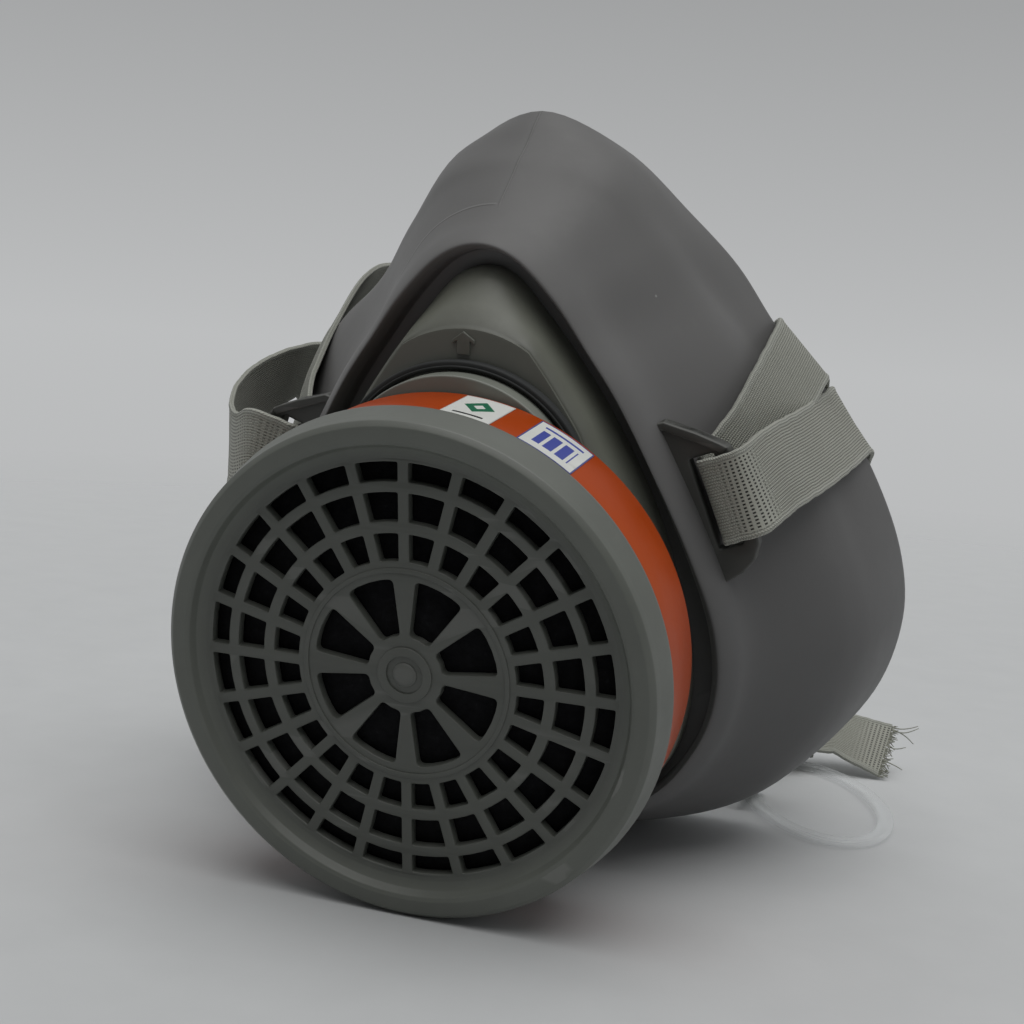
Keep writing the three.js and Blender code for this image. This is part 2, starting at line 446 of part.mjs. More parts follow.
// left band: the same, with a slack loop at the lug; it ends sewn round the clasp's other half
const strapLeft = ribbon([
  [[43.0, -61.1, -123.4], [0.64, -0.14, -0.77]],
  [[36.0, -62.1, -129.4], [0.62, -0.14, -0.78]],
  [[28.0, -63.4, -135.0], [0.5, -0.15, -0.86]],
  [[11.0, -65.0, -141.4], [0.2, -0.18, -0.96]],
  [[-12.0, -65.6, -143.4], [-0.1, -0.2, -0.96]],
  [[-31.0, -61.0, -138.4], [-0.4, -0.1, -0.9]],
  ml([[43.0, -46.0, -128.0], [0.75, -0.1, -0.6]]),
  ml([[44.0, -22.0, -119.0], [0.8, -0.3, -0.4]]),
  ml([[43.6, 8.0, -108.0], [0.75, -0.5, -0.25]]),
  ml([[43.4, 34.4, -97.0], [0.66, -0.7, -0.22]]),
  ml([[44.4, 45.6, -87.6], RIM_U]),
  ml([[46.0, 45.2, -79.6], RIM_U]),
  ml([[46.2, 38.0, -64.0], [0.52, -0.84, -0.1]]),
  ...wrap(-1),
  ml([onBar(0.6, -0.2, -35.8), [0.34, -0.94, 0.03]]),
  ml([[51.9, 22.3, -40.2], [0.15, -0.98, 0.05]]),
  ml([[58.1, 22.2, -49.6], [0.05, -1, 0]]),
  ml([[62.4, 24.0, -59.0], [0.1, -0.99, 0]]),
  ml([[64.0, 26.4, -69.0], [0.2, -0.97, -0.05]]),
  ml([[62.6, 28.6, -80.0], [0.36, -0.93, -0.08]]),
  ml([[60.0, 28.8, -89.0], RIM_L]),
  ml([[57.4, 20.0, -97.6], [0.54, -0.82, 0.1]]),
  ml([[52.6, -2.0, -106.0], [0.6, -0.55, 0.35]]),
  ml([[49.6, -26.0, -111.0], [0.45, -0.3, 0.8]]),
  ml([[44.0, -46.0, -115.0], [0.2, -0.1, 0.95]]),
  ml([[38.6, -57.6, -117.0], [0.0, 0.18, 0.98]]),
  ml([[32.6, -61.8, -118.6], [0, 0.18, 0.98]]),
  ml([[26.0, -62.3, -119.0], [0, 0.18, 0.98]]),
  ml([[18.0, -62.3, -119.0], [0, 0.18, 0.98]]),
  ml([[11.0, -62.3, -119.0], [0, 0.18, 0.98]])], STRAP_W, STRAP_T, 2);

// ------------------------------------------------------------------ neck clasp and crown ring
// own frame: x along the band, z across it, y up; laid on the ground behind the mask
const layClasp = m => m.rotate([-REST_TILT, 0, 0]).translate([0, -60.2, -119.0]);
let socket = box(13.0, 19.2, 6.0, 8.5, 0, 0.4)
  .subtract(box(12.4, 15.6, 3.4, 7.3, 0, 0.4))
  .add(box(5.6, 1.6, 6.0, 17.0, 8.8, 0.4)).add(box(5.6, 1.6, 6.0, 17.0, -8.8, 0.4))
  .add(box(2.0, 17.0, 1.3, 18.7, 0, -0.05));
socket = socket.rotate([-90, 0, 0]);
let prong = prism([[-16.0, -9.6], [-1.0, -9.6], [-1.0, -7.0], [11.6, -7.0], [12.6, -6.0], [12.6, -4.4], [11.6, -3.4], [-1.0, -3.4],
  [-1.0, 3.4], [11.6, 3.4], [12.6, 4.4], [12.6, 6.0], [11.6, 7.0], [-1.0, 7.0], [-1.0, 9.6], [-16.0, 9.6]], -0.8, 1.6)
  .subtract(box(3.0, 16, 8, -12.9, 0, 0.4));
prong = prong.rotate([-90, 0, 0]);
const claspSocket = layClasp(socket), claspProng = layClasp(prong);

// oval ring of clear plastic, its long axis running back and to the left
const RING = { x: 52.4, y: -58.3, z: -98.3, a: 30.0, b: 15.4, band: 3.6, t: 1.4, ax: [0.342, 0.94] };
const oval = grow => Array.from({ length: 36 }, (_, i) => {
  const f = 2 * Math.PI * i / 36, p = (RING.a + grow) * Math.cos(f), q = (RING.b + grow) * Math.sin(f);
  return [p * RING.ax[0] + q * RING.ax[1], -(p * RING.ax[1] - q * RING.ax[0])];
});
const crownRing = prism(oval(0), -RING.t / 2, RING.t / 2, [oval(-RING.band)]).rotate([-90 - REST_TILT, 0, 0])
  .translate([RING.x, RING.y, RING.z]);

// ------------------------------------------------------------------ assembly in the mask's frame
const mask = new THREE.Group();
const put = (name, m, material) => {
  const mesh = new THREE.Mesh(toGeometry(m), material);
  mesh.name = name;
  mask.add(mesh);
  return mesh;
};
put('filter_cap', cap, M.cap);
put('prefilter_disc', prefilter, M.fleece);
put('front_sieve', frontSieve, M.sieve);
put('carbon_bed', carbon, M.carbon);
put('rear_sieve', rearSieve, M.sieve);
put('cartridge_shell', shell, M.shell);
put('label_band', label, M.label);
put('label_patch_green', patchA, M.paper);
put('label_patch_blue', patchB, M.paper);
put('cartridge_gasket', cartridgeGasket, M.seal);
put('cartridge_seat', seat, M.seat);
put('seat_seal', seatSeal, M.seal);
put('front_housing', housing, M.housing);
put('inhalation_valve_seat', inSeat, M.housing);
put('inhalation_valve_flap', inFlap, M.flap);
put('exhalation_valve_seat', exSeat, M.housing);
put('exhalation_valve_flap', exFlap, M.flap);
put('exhalation_valve_cover', exCover, M.cap);
put('facepiece', facepiece, M.rubber);
put('strap_lug_right', lugR, M.housing);
put('strap_lug_left', lugL, M.housing);
put('strap_right', strapRight, M.strap);
put('strap_left', strapLeft, M.strap);
put('neck_clasp_socket', claspSocket, M.buckle);
put('neck_clasp_prong', claspProng, M.buckle);
put('crown_ring', crownRing, M.clear);

// ------------------------------------------------------------------ stand it on the ground
mask.rotation.x = Math.PI / 2 + rad(REST_TILT);
const group = new THREE.Group();
group.add(mask);
group.updateMatrixWorld(true);
const bounds = new THREE.Box3().setFromObject(group, true);
mask.position.set(-(bounds.min.x + bounds.max.x) / 2, -(bounds.min.y + bounds.max.y) / 2, -bounds.min.z);
group.updateMatrixWorld(true);

export default group;
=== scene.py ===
import bpy, bmesh, math, random
from mathutils import Vector, Matrix


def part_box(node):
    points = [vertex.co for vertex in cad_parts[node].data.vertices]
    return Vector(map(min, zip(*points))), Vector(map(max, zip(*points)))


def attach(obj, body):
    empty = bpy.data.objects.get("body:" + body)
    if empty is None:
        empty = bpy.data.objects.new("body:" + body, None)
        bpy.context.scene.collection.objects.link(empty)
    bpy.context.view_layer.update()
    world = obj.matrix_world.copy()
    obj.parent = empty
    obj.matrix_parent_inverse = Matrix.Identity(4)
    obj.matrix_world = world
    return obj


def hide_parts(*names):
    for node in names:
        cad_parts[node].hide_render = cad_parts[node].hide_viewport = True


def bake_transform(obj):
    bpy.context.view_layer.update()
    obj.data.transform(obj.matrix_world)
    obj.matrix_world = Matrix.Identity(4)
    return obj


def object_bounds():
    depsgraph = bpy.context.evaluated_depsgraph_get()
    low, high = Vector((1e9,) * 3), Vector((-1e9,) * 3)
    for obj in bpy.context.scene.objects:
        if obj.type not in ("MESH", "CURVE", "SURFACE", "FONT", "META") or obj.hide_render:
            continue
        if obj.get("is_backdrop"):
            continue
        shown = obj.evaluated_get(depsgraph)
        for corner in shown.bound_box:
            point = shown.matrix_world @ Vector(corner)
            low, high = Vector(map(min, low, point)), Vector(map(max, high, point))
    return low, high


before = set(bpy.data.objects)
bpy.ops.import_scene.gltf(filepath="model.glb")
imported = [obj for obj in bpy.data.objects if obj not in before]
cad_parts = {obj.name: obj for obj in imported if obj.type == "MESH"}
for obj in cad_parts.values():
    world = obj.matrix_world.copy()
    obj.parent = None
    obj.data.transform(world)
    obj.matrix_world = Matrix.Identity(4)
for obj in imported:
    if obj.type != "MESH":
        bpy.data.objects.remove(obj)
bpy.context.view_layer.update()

RNG = random.Random(7)
SCN = bpy.context.scene

# ---------------------------------------------------------------- frame of the mask: mm, x right, y up, z forward
REST_TILT = math.radians(10.3)
CT, ST = math.cos(REST_TILT), math.sin(REST_TILT)
_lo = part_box("filter_cap")[0] * 1000.0
T0 = Vector((_lo.x + 42.2, _lo.y + 9.6476, _lo.z + 40.912))


def R(p):
    """mask frame, mm -> row frame, m"""
    x, y, z = p
    return Vector((x + T0.x, -ST * y - CT * z + T0.y, CT * y - ST * z + T0.z)) / 1000.0


def D(v):
    x, y, z = v
    return Vector((x, -ST * y - CT * z, CT * y - ST * z))


# ---------------------------------------------------------------- node helpers
class NT:
    def __init__(self, name):
        self.m = bpy.data.materials.new(name)
        self.m.use_nodes = True
        self.t = self.m.node_tree
        self.t.nodes.clear()
        self.out = self.t.nodes.new("ShaderNodeOutputMaterial")
        self.b = self.t.nodes.new("ShaderNodeBsdfPrincipled")
        self.link(self.b.outputs[0], self.out.inputs[0])

    def n(self, kind, **kw):
        x = self.t.nodes.new("ShaderNode" + kind)
        for k, v in kw.items():
            setattr(x, k, v)
        return x

    def link(self, a, b):
        self.t.links.new(a, b)

    def val(self, x, sock):
        if isinstance(x, (int, float)):
            sock.default_value = x
        else:
            self.link(x, sock)

    def math(self, op, a, b=None, c=None, clamp=False):
        x = self.n("Math", operation=op)
        x.use_clamp = clamp
        self.val(a, x.inputs[0])
        if b is not None:
            self.val(b, x.inputs[1])
        if c is not None:
            self.val(c, x.inputs[2])
        return x.outputs[0]

    def coord(self):
        return self.n("TexCoord").outputs["Object"]

    def uv(self):
        u = self.n("UVMap")
        s = self.n("SeparateXYZ")
        self.link(u.outputs[0], s.inputs[0])
        return s.outputs[0], s.outputs[1]

    def xyz(self, v):
        s = self.n("SeparateXYZ")
        self.link(v, s.inputs[0])
        return s.outputs

    def noise(self, scale, detail=4.0, rough=0.55, vec=None):
        x = self.n("TexNoise")
        x.inputs["Scale"].default_value = scale
        x.inputs["Detail"].default_value = detail
        x.inputs["Roughness"].default_value = rough
        self.link(vec if vec is not None else self.coord(), x.inputs["Vector"])
        return x.outputs["Fac"]

    def ramp(self, fac, stops):
        x = self.n("ValToRGB")
        self.link(fac, x.inputs[0])
        e = x.color_ramp.elements
        while len(e) > 1:
            e.remove(e[-1])
        e[0].position, e[0].color = stops[0][0], (*stops[0][1], 1)
        for p, c in stops[1:]:
            q = e.new(p)
            q.color = (*c, 1)
        return x.outputs[0]

    def mix(self, fac, a, b, blend="MIX"):
        x = self.n("Mix", data_type="RGBA", blend_type=blend)
        self.val(fac, x.inputs[0])
        for v, s in ((a, x.inputs[6]), (b, x.inputs[7])):
            if isinstance(v, tuple):
                s.default_value = (*v, 1)
            else:
                self.link(v, s)
        return x.outputs[2]

    def maprange(self, v, a, b, c, d):
        x = self.n("MapRange")
        self.link(v, x.inputs[0])
        for i, q in enumerate((a, b, c, d)):
            x.inputs[i + 1].default_value = q
        return x.outputs[0]

    def bump(self, height, strength, dist, normal=None):
        x = self.n("Bump")
        x.inputs["Strength"].default_value = strength
        x.inputs["Distance"].default_value = dist
        self.link(height, x.inputs["Height"])
        if normal is not None:
            self.link(normal, x.inputs["Normal"])
        return x.outputs[0]

    def set(self, **kw):
        for k, v in kw.items():
            s = self.b.inputs[k.replace("_", " ")]
            if isinstance(v, tuple):
                s.default_value = (*v, 1) if len(v) == 3 else v
            elif isinstance(v, (int, float)):
                s.default_value = v
            else:
                self.link(v, s)
        return self


def lin(r, g, b):
    f = lambda c: (c / 255 / 12.92) if c <= 10 else ((c / 255 + 0.055) / 1.055) ** 2.4
    return (f(r), f(g), f(b))


def mask_coords(m):
    """the shaded point in the mask's frame, in m"""
    X, Y, Z = m.xyz(m.coord())
    x = m.math("SUBTRACT", X, T0.x / 1000)
    y, z = m.math("SUBTRACT", Y, T0.y / 1000), m.math("SUBTRACT", Z, T0.z / 1000)
    return (x, m.math("SUBTRACT", m.math("MULTIPLY", z, CT), m.math("MULTIPLY", y, ST)),
            m.math("MULTIPLY", m.math("ADD", m.math("MULTIPLY", z, ST), m.math("MULTIPLY", y, CT)), -1.0))


def moulded(name, base, rough=0.45, vary=0.12, grain=0.35, spec=0.5, edge=None, specks=0.0, painted_shade_zone=None, painted_shade_tone=0.8):
    """moulded plastic or rubber: cloudy colour, fine grain, patchy gloss, sparse dust, one zone of painted shade"""
    m = NT(name)
    cloud = m.noise(38, 5, 0.6)
    fine = m.noise(900, 3, 0.6)
    dark = tuple(c * (1 - vary) for c in base)
    light = tuple(min(1, c * (1 + vary)) for c in base)
    col = m.ramp(cloud, [(0.3, dark), (0.5, base), (0.72, light)])
    streak = m.noise(160, 6, 0.7)
    col = m.mix(m.maprange(streak, 0.55, 0.8, 0.0, 0.25), col, tuple(min(1, c * 1.35) for c in base))
    if specks:
        v = m.n("TexVoronoi")
        v.inputs["Scale"].default_value = 170
        m.link(m.coord(), v.inputs["Vector"])
        s = m.math("LESS_THAN", v.outputs["Distance"], 0.06)
        pick = m.math("GREATER_THAN", m.xyz(v.outputs["Color"])[0], 1 - specks)
        col = m.mix(m.math("MULTIPLY", m.math("MULTIPLY", s, pick), 0.55), col, (0.45, 0.45, 0.43))
    if edge:
        g = m.n("NewGeometry")
        worn = m.maprange(g.outputs["Pointiness"], 0.515, 0.56, 0.0, 0.5)
        col = m.mix(worn, col, edge)
    # painted shade: the grille inside the rim's recess, or the housing's flat forward face, is multiplied darker
    if painted_shade_zone:
        x, y, z = mask_coords(m)
        if painted_shade_zone == "grille":
            rad = m.math("SQRT", m.math("ADD", m.math("MULTIPLY", x, x), m.math("MULTIPLY", y, y)))
            fac = m.maprange(rad, 0.0346, 0.0368, 1.0, 0.0)
        else:
            fac = m.maprange(z, -0.0292, -0.0262, 0.0, 1.0)
        col = m.mix(fac, col, (painted_shade_tone, painted_shade_tone, painted_shade_tone), "MULTIPLY")
    rgh = m.maprange(m.noise(70, 6, 0.65), 0.3, 0.75, rough - 0.07, rough + 0.1)
    nrm = m.bump(fine, grain * 0.35, 0.00012)
    nrm = m.bump(cloud, 0.25, 0.0006, nrm)
    m.set(Base_Color=col, Roughness=rgh, Normal=nrm, Specular_IOR_Level=spec)
    return m


# ---------------------------------------------------------------- mesh helpers
def make(name, verts, faces, mat, smooth=True, uv=None, angle=None):
    me = bpy.data.meshes.new(name)
    me.from_pydata([tuple(v) for v in verts], [], faces)
    me.validate()
    if smooth:
        me.polygons.foreach_set("use_smooth", [True] * len(me.polygons))
    if uv is not None:
        lay = me.uv_layers.new(name="UVMap")
        for i, l in enumerate(me.loops):
            lay.data[i].uv = uv[l.vertex_index]
    bm = bmesh.new()
    bm.from_mesh(me)
    bmesh.ops.recalc_face_normals(bm, faces=bm.faces)
    bm.to_mesh(me)
    bm.free()
    if angle is not None:
        me.set_sharp_from_angle(angle=math.radians(angle))
    o = bpy.data.objects.new(name, me)
    SCN.collection.objects.link(o)
    me.materials.append(mat.m if isinstance(mat, NT) else mat)
    return o


def loft(sections, closed=True, cap=True):
    """rings of points -> verts, faces; closed joins the last ring to the first"""
    n, k = len(sections), len(sections[0])
    v = [p for s in sections for p in s]
    f = []
    for i in range(n if closed else n - 1):
        a, b = i * k, ((i + 1) % n) * k
        for j in range(k):
            q = (j + 1) % k
            f.append((a + j, a + q, b + q, b + j))
    if not closed and cap:
        f.append(tuple(range(k - 1, -1, -1)))
        f.append(tuple((n - 1) * k + j for j in range(k)))
    return v, f


def fillet(pts, rad, n=4, closed=True):
    """rounds the corners of a polyline; rad is one number or one per point"""
    out = []
    N = len(pts)
    for i in range(N):
        r = rad[i] if isinstance(rad, (list, tuple)) else rad
        p = Vector(pts[i])
        if r <= 0 or (not closed and i in (0, N - 1)):
            out.append(tuple(p))
            continue
        a, b = Vector(pts[i - 1]), Vector(pts[(i + 1) % N])
        u, w = (a - p), (b - p)
        lu, lw = u.length, w.length
        u.normalize(); w.normalize()
        ang = u.angle(w, math.pi)
        d = min(r / max(math.tan(ang / 2), 1e-4), lu * 0.45, lw * 0.45)
        s, e = p + u * d, p + w * d
        for k in range(n + 1):
            t = k / n
            q = s * (1 - t) ** 2 + p * 2 * t * (1 - t) + e * t * t
            out.append(tuple(q))
    return out


def revolve(profile, n=128, frame_fn=R):
    """closed (r, z) profile turned about the mask's z axis"""
    secs = []
    for i in range(n):
        a = 2 * math.pi * i / n
        secs.append([frame_fn((r * math.cos(a), r * math.sin(a), z)) for r, z in profile])
    return loft(secs, True)


def plate(name, outline, holes, z0, z1, bevel, mat, res=3, fn=None):
    """flat moulded plate with holes: outline in mask x, y between z0 and z1, rounded edges"""
    cu = bpy.data.curves.new(name + "_c", "CURVE")
    cu.dimensions = "2D"
    cu.fill_mode = "BOTH"
    cu.extrude = abs(z1 - z0) / 2 - bevel
    cu.bevel_depth = bevel
    cu.bevel_resolution = res
    cu.offset = -bevel
    for poly in [outline] + list(holes):
        s = cu.splines.new("POLY")
        s.points.add(len(poly) - 1)
        for q, p in zip(s.points, poly):
            q.co = (p[0], p[1], 0, 1)
        s.use_cyclic_u = True
    tmp = bpy.data.objects.new(name + "_t", cu)
    SCN.collection.objects.link(tmp)
    bpy.context.view_layer.update()
    dg = bpy.context.evaluated_depsgraph_get()
    me = bpy.data.meshes.new_from_object(tmp.evaluated_get(dg), depsgraph=dg)
    bpy.data.objects.remove(tmp)
    zc = (z0 + z1) / 2
    f = fn or R
    for v in me.vertices:
        v.co = f((v.co.x, v.co.y, v.co.z + zc))
    me.name = name
    bm = bmesh.new()
    bm.from_mesh(me)
    bmesh.ops.remove_doubles(bm, verts=bm.verts, dist=1e-7)
    bmesh.ops.recalc_face_normals(bm, faces=bm.faces)
    bm.to_mesh(me)
    bm.free()
    me.polygons.foreach_set("use_smooth", [True] * len(me.polygons))
    me.set_sharp_from_angle(angle=math.radians(35))
    o = bpy.data.objects.new(name, me)
    SCN.collection.objects.link(o)
    me.materials.clear()
    me.materials.append(mat.m)
    return o


def join(name, objs):
    """several meshes -> one object"""
    bm = bmesh.new()
    for o in objs:
        bm.from_mesh(o.data)
    me = bpy.data.meshes.new(name)
    bm.to_mesh(me)
    bm.free()
    mats = objs[0].data.materials[:]
    for m in mats:
        me.materials.append(m)
    me.polygons.foreach_set("use_smooth", [True] * len(me.polygons))
    me.set_sharp_from_angle(angle=math.radians(35))
    for o in objs:
        bpy.data.objects.remove(o)
    o = bpy.data.objects.new(name, me)
    SCN.collection.objects.link(o)
    return o


def circle(r, n=96, x=0, y=0):
    return [(x + r * math.cos(2 * math.pi * i / n), y + r * math.sin(2 * math.pi * i / n)) for i in range(n)]


def egg(top, r_low, grow=0.0, n=60):
    R0, R1 = r_low + grow, top[1] + grow
    s = (R0 - R1) / top[0]
    a0 = math.asin(max(-1, min(1, s)))
    p = []
    for i in range(n + 1):
        a = a0 + (math.pi - 2 * a0) * i / n
        p.append((R1 * math.cos(a), top[0] + R1 * math.sin(a)))
    for i in range(1, n):
        a = math.pi - a0 + (math.pi + 2 * a0) * i / n
        p.append((R0 * math.cos(a), R0 * math.sin(a)))
    return p


def catmull(pts, t, closed=False):
    """centripetal-free Catmull-Rom through Vectors, t from 0 to 1"""
    n = len(pts) if closed else len(pts) - 1
    f = t * n
    k = min(int(f), n - 1) if not closed else int(f) % n
    u = f - int(f) if not (not closed and f >= n) else 1.0
    q = lambda i: pts[(k + i) % len(pts)] if closed else pts[max(0, min(len(pts) - 1, k + i))]
    a, b, c, e = q(-1), q(0), q(1), q(2)
    return 0.5 * (2 * b + (c - a) * u + (2 * a - 5 * b + 4 * c - e) * u * u + (3 * b - a - 3 * c + e) * u ** 3)


def centripetal(pts, per):
    """dense points on a centripetal Catmull-Rom through pts, per samples a span; yields (span, u, point)"""
    out = []
    n = len(pts)
    for k in range(n - 1):
        p0 = pts[k - 1] if k > 0 else pts[0] * 2 - pts[1]
        p1, p2 = pts[k], pts[k + 1]
        p3 = pts[k + 2] if k + 2 < n else pts[-1] * 2 - pts[-2]
        t0 = 0.0
        t1 = t0 + max((p1 - p0).length, 1e-6) ** 0.5
        t2 = t1 + max((p2 - p1).length, 1e-6) ** 0.5
        t3 = t2 + max((p3 - p2).length, 1e-6) ** 0.5
        for i in range(per + (1 if k == n - 2 else 0)):
            u = i / per
            t = t1 + (t2 - t1) * u
            a1 = p0 * ((t1 - t) / (t1 - t0)) + p1 * ((t - t0) / (t1 - t0))
            a2 = p1 * ((t2 - t) / (t2 - t1)) + p2 * ((t - t1) / (t2 - t1))
            a3 = p2 * ((t3 - t) / (t3 - t2)) + p3 * ((t - t2) / (t3 - t2))
            b1 = a1 * ((t2 - t) / (t2 - t0)) + a2 * ((t - t0) / (t2 - t0))
            b2 = a2 * ((t3 - t) / (t3 - t1)) + a3 * ((t - t1) / (t3 - t1))
            out.append((k, u, b1 * ((t2 - t) / (t2 - t1)) + b2 * ((t - t1) / (t2 - t1))))
    return out


# ---------------------------------------------------------------- camera
cam_data = bpy.data.cameras.new("Camera")
cam = bpy.data.objects.new("Camera", cam_data)
SCN.collection.objects.link(cam)
cam_data.sensor_width = 36
cam_data.lens = 1500 / 1024 * 36
cam_data.clip_start = 0.01
cam_data.clip_end = 20
_f, _r, _u = D((-0.31998, -0.27183, -0.90759)), D((0.94221, 0.00906, -0.33490)), D((-0.09926, 0.96230, -0.25322))
_f.normalize()
_r = (_r - _f * _r.dot(_f)).normalized()
_u = _r.cross(_f).normalized()
cam.matrix_world = Matrix.Translation(R((88.4, 88.5, 201.0))) @ Matrix((
    (_r.x, _u.x, -_f.x, 0), (_r.y, _u.y, -_f.y, 0), (_r.z, _u.z, -_f.z, 0), (0, 0, 0, 1)))
SCN.camera = cam

# ---------------------------------------------------------------- materials
RUBBER = lin(104, 103, 102)
m_rubber = NT("face_rubber")
if True:
    m = m_rubber
    cloud = m.noise(22, 5, 0.55)
    fine = m.noise(1500, 2, 0.6)
    base = (0.132, 0.130, 0.128)
    col = m.ramp(cloud, [(0.3, tuple(c * 0.93 for c in base)), (0.55, base), (0.75, tuple(c * 1.07 for c in base))])
    dust = m.n("TexVoronoi")
    dust.inputs["Scale"].default_value = 120
    m.link(m.coord(), dust.inputs["Vector"])
    near = m.math("LESS_THAN", dust.outputs["Distance"], 0.045)
    pick = m.math("GREATER_THAN", m.xyz(dust.outputs["Color"])[0], 0.9)
    col = m.mix(m.math("MULTIPLY", m.math("MULTIPLY", near, pick), 0.5), col, (0.4, 0.4, 0.39))
    smear = m.noise(55, 7, 0.7)
    col = m.mix(m.maprange(smear, 0.58, 0.78, 0.0, 0.3), col, (0.18, 0.178, 0.175))
    X, Y, Z = m.xyz(m.coord())
    # painted shade: the rubber darkens towards the lower right cheek
    painted_cheek_shade = m.math("MULTIPLY", m.maprange(Z, 0.030, 0.115, 1.0, 0.0), m.maprange(X, -0.005, 0.045, 0.0, 1.0))
    col = m.mix(m.math("MULTIPLY", painted_cheek_shade, 0.78), col, (0.062, 0.062, 0.063))
    # moulding line down the middle of the nose and up from the chin
    xm = m.math("SUBTRACT", X, T0.x / 1000)
    line = m.math("ABSOLUTE", xm)
    line = m.maprange(line, 0.00006, 0.00022, 1.0, 0.0)
    line = m.math("MULTIPLY", line, m.maprange(Z, (T0.z + 75.5) / 1000, (T0.z + 77) / 1000, 0.0, 1.0))
    # a second, curved one across the left cheek, where the mould's slide met the shell
    cx, cz = m.math("MULTIPLY", xm, 1000.0), m.math("SUBTRACT", m.math("MULTIPLY", Z, 1000.0), T0.z)
    d2 = m.math("SQRT", m.math("ADD", m.math("POWER", m.math("ADD", cx, 0.3), 2.0), m.math("POWER", m.math("SUBTRACT", cz, 58.6), 2.0)))
    arc = m.maprange(m.math("ABSOLUTE", m.math("SUBTRACT", d2, 17.4)), 0.06, 0.24, 1.0, 0.0)
    arc = m.math("MULTIPLY", arc, m.math("MULTIPLY", m.maprange(cx, -0.9, -0.3, 1.0, 0.0), m.maprange(cz, 60.0, 63.0, 0.0, 1.0)))
    line = m.math("MAXIMUM", line, m.math("MULTIPLY", arc, 0.7))
    # the seams are raised by the bump below; their lighter colour is a painted highlight along that ridge
    col = m.mix(m.math("MULTIPLY", line, 0.3), col, (0.3, 0.3, 0.29))
    nrm = m.bump(fine, 0.10, 0.00008)
    nrm = m.bump(m.noise(300, 4, 0.6), 0.10, 0.0002, nrm)
    nrm = m.bump(line, 0.8, 0.00022, nrm)
    rgh = m.maprange(m.noise(40, 6, 0.65), 0.3, 0.75, 0.46, 0.60)
    m.set(Base_Color=col, Roughness=rgh, Normal=nrm, Specular_IOR_Level=0.42, Sheen_Weight=0.06, Sheen_Roughness=0.5)

# painted shade on the grille inside the rim's recess
m_cap = moulded("cap_plastic", lin(98, 101, 95), 0.42, 0.10, 0.35, 0.5, edge=(0.22, 0.225, 0.21), specks=0.05, painted_shade_zone="grille", painted_shade_tone=0.68)
m_shell = moulded("shell_plastic", lin(125, 128, 122), 0.5, 0.08)
m_seat = moulded("seat_plastic", lin(118, 121, 113), 0.42, 0.10, 0.3, 0.5, edge=(0.30, 0.31, 0.28), specks=0.03)
# painted shade on the housing's flat forward face
m_housing = moulded("housing_plastic", lin(116, 118, 108), 0.42, 0.10, 0.35, 0.5, edge=(0.22, 0.225, 0.20), specks=0.05, painted_shade_zone="face", painted_shade_tone=0.62)
m_lug = moulded("lug_plastic", lin(64, 65, 62), 0.45, 0.10, 0.35, 0.5, edge=(0.13, 0.13, 0.12), specks=0.05)
m_seal = moulded("seal_rubber", lin(42, 44, 44), 0.72, 0.15, 0.3, 0.45)
m_flap = moulded("flap_rubber", lin(190, 186, 174), 0.42, 0.05, 0.2, 0.45)
m_buckle = moulded("buckle_plastic", lin(52, 54, 52), 0.4, 0.12, 0.3, 0.5, edge=(0.12, 0.12, 0.115))
m_sieve = moulded("sieve_plastic", lin(70, 72, 70), 0.55, 0.1)

m_fleece = NT("fleece")
if True:
    m = m_fleece
    fib = m.noise(700, 8, 0.75)
    lump = m.noise(90, 5, 0.6)
    col = m.ramp(fib, [(0.3, (0.004, 0.004, 0.0045)), (0.6, (0.011, 0.011, 0.0125)), (0.8, (0.03, 0.03, 0.032))])
    m.set(Base_Color=col, Roughness=0.95, Specular_IOR_Level=0.15, Normal=m.bump(m.math("ADD", fib, lump), 0.7, 0.0004))

m_carbon = NT("carbon")
if True:
    m = m_carbon
    v = m.n("TexVoronoi")
    v.inputs["Scale"].default_value = 900
    m.link(m.coord(), v.inputs["Vector"])
    col = m.ramp(m.xyz(v.outputs["Color"])[0], [(0.2, (0.006, 0.006, 0.006)), (0.9, (0.03, 0.03, 0.031))])
    m.set(Base_Color=col, Roughness=0.7, Normal=m.bump(v.outputs["Distance"], 0.9, 0.0006))

m_label = NT("label_orange")
if True:
    m = m_label
    cloud = m.noise(30, 4, 0.5)
    base = lin(170, 64, 1)
    col = m.ramp(cloud, [(0.3, lin(160, 58, 0)), (0.55, base), (0.8, lin(177, 73, 5))])
    smudge = m.noise(85, 8, 0.72)
    col = m.mix(m.maprange(smudge, 0.60, 0.74, 0.0, 0.30), col, lin(96, 46, 24))
    scuff = m.noise(260, 5, 0.8)
    col = m.mix(m.maprange(scuff, 0.70, 0.76, 0.0, 0.5), col, lin(80, 44, 28))
    # painted shade: the label darkens towards its underside, where the cartridge rests near the floor
    low = m.xyz(m.coord())[2]
    col = m.mix(m.maprange(m.math("ADD", low, m.math("MULTIPLY", smudge, 0.006)), 0.008, 0.024, 0.78, 0.0), col, lin(52, 38, 30))
    rgh = m.maprange(m.noise(60, 6, 0.7), 0.3, 0.8, 0.28, 0.48)
    wrinkle = m.noise(45, 3, 0.5)
    m.set(Base_Color=col, Roughness=rgh, Specular_IOR_Level=0.2, Normal=m.bump(wrinkle, 0.12, 0.0006))


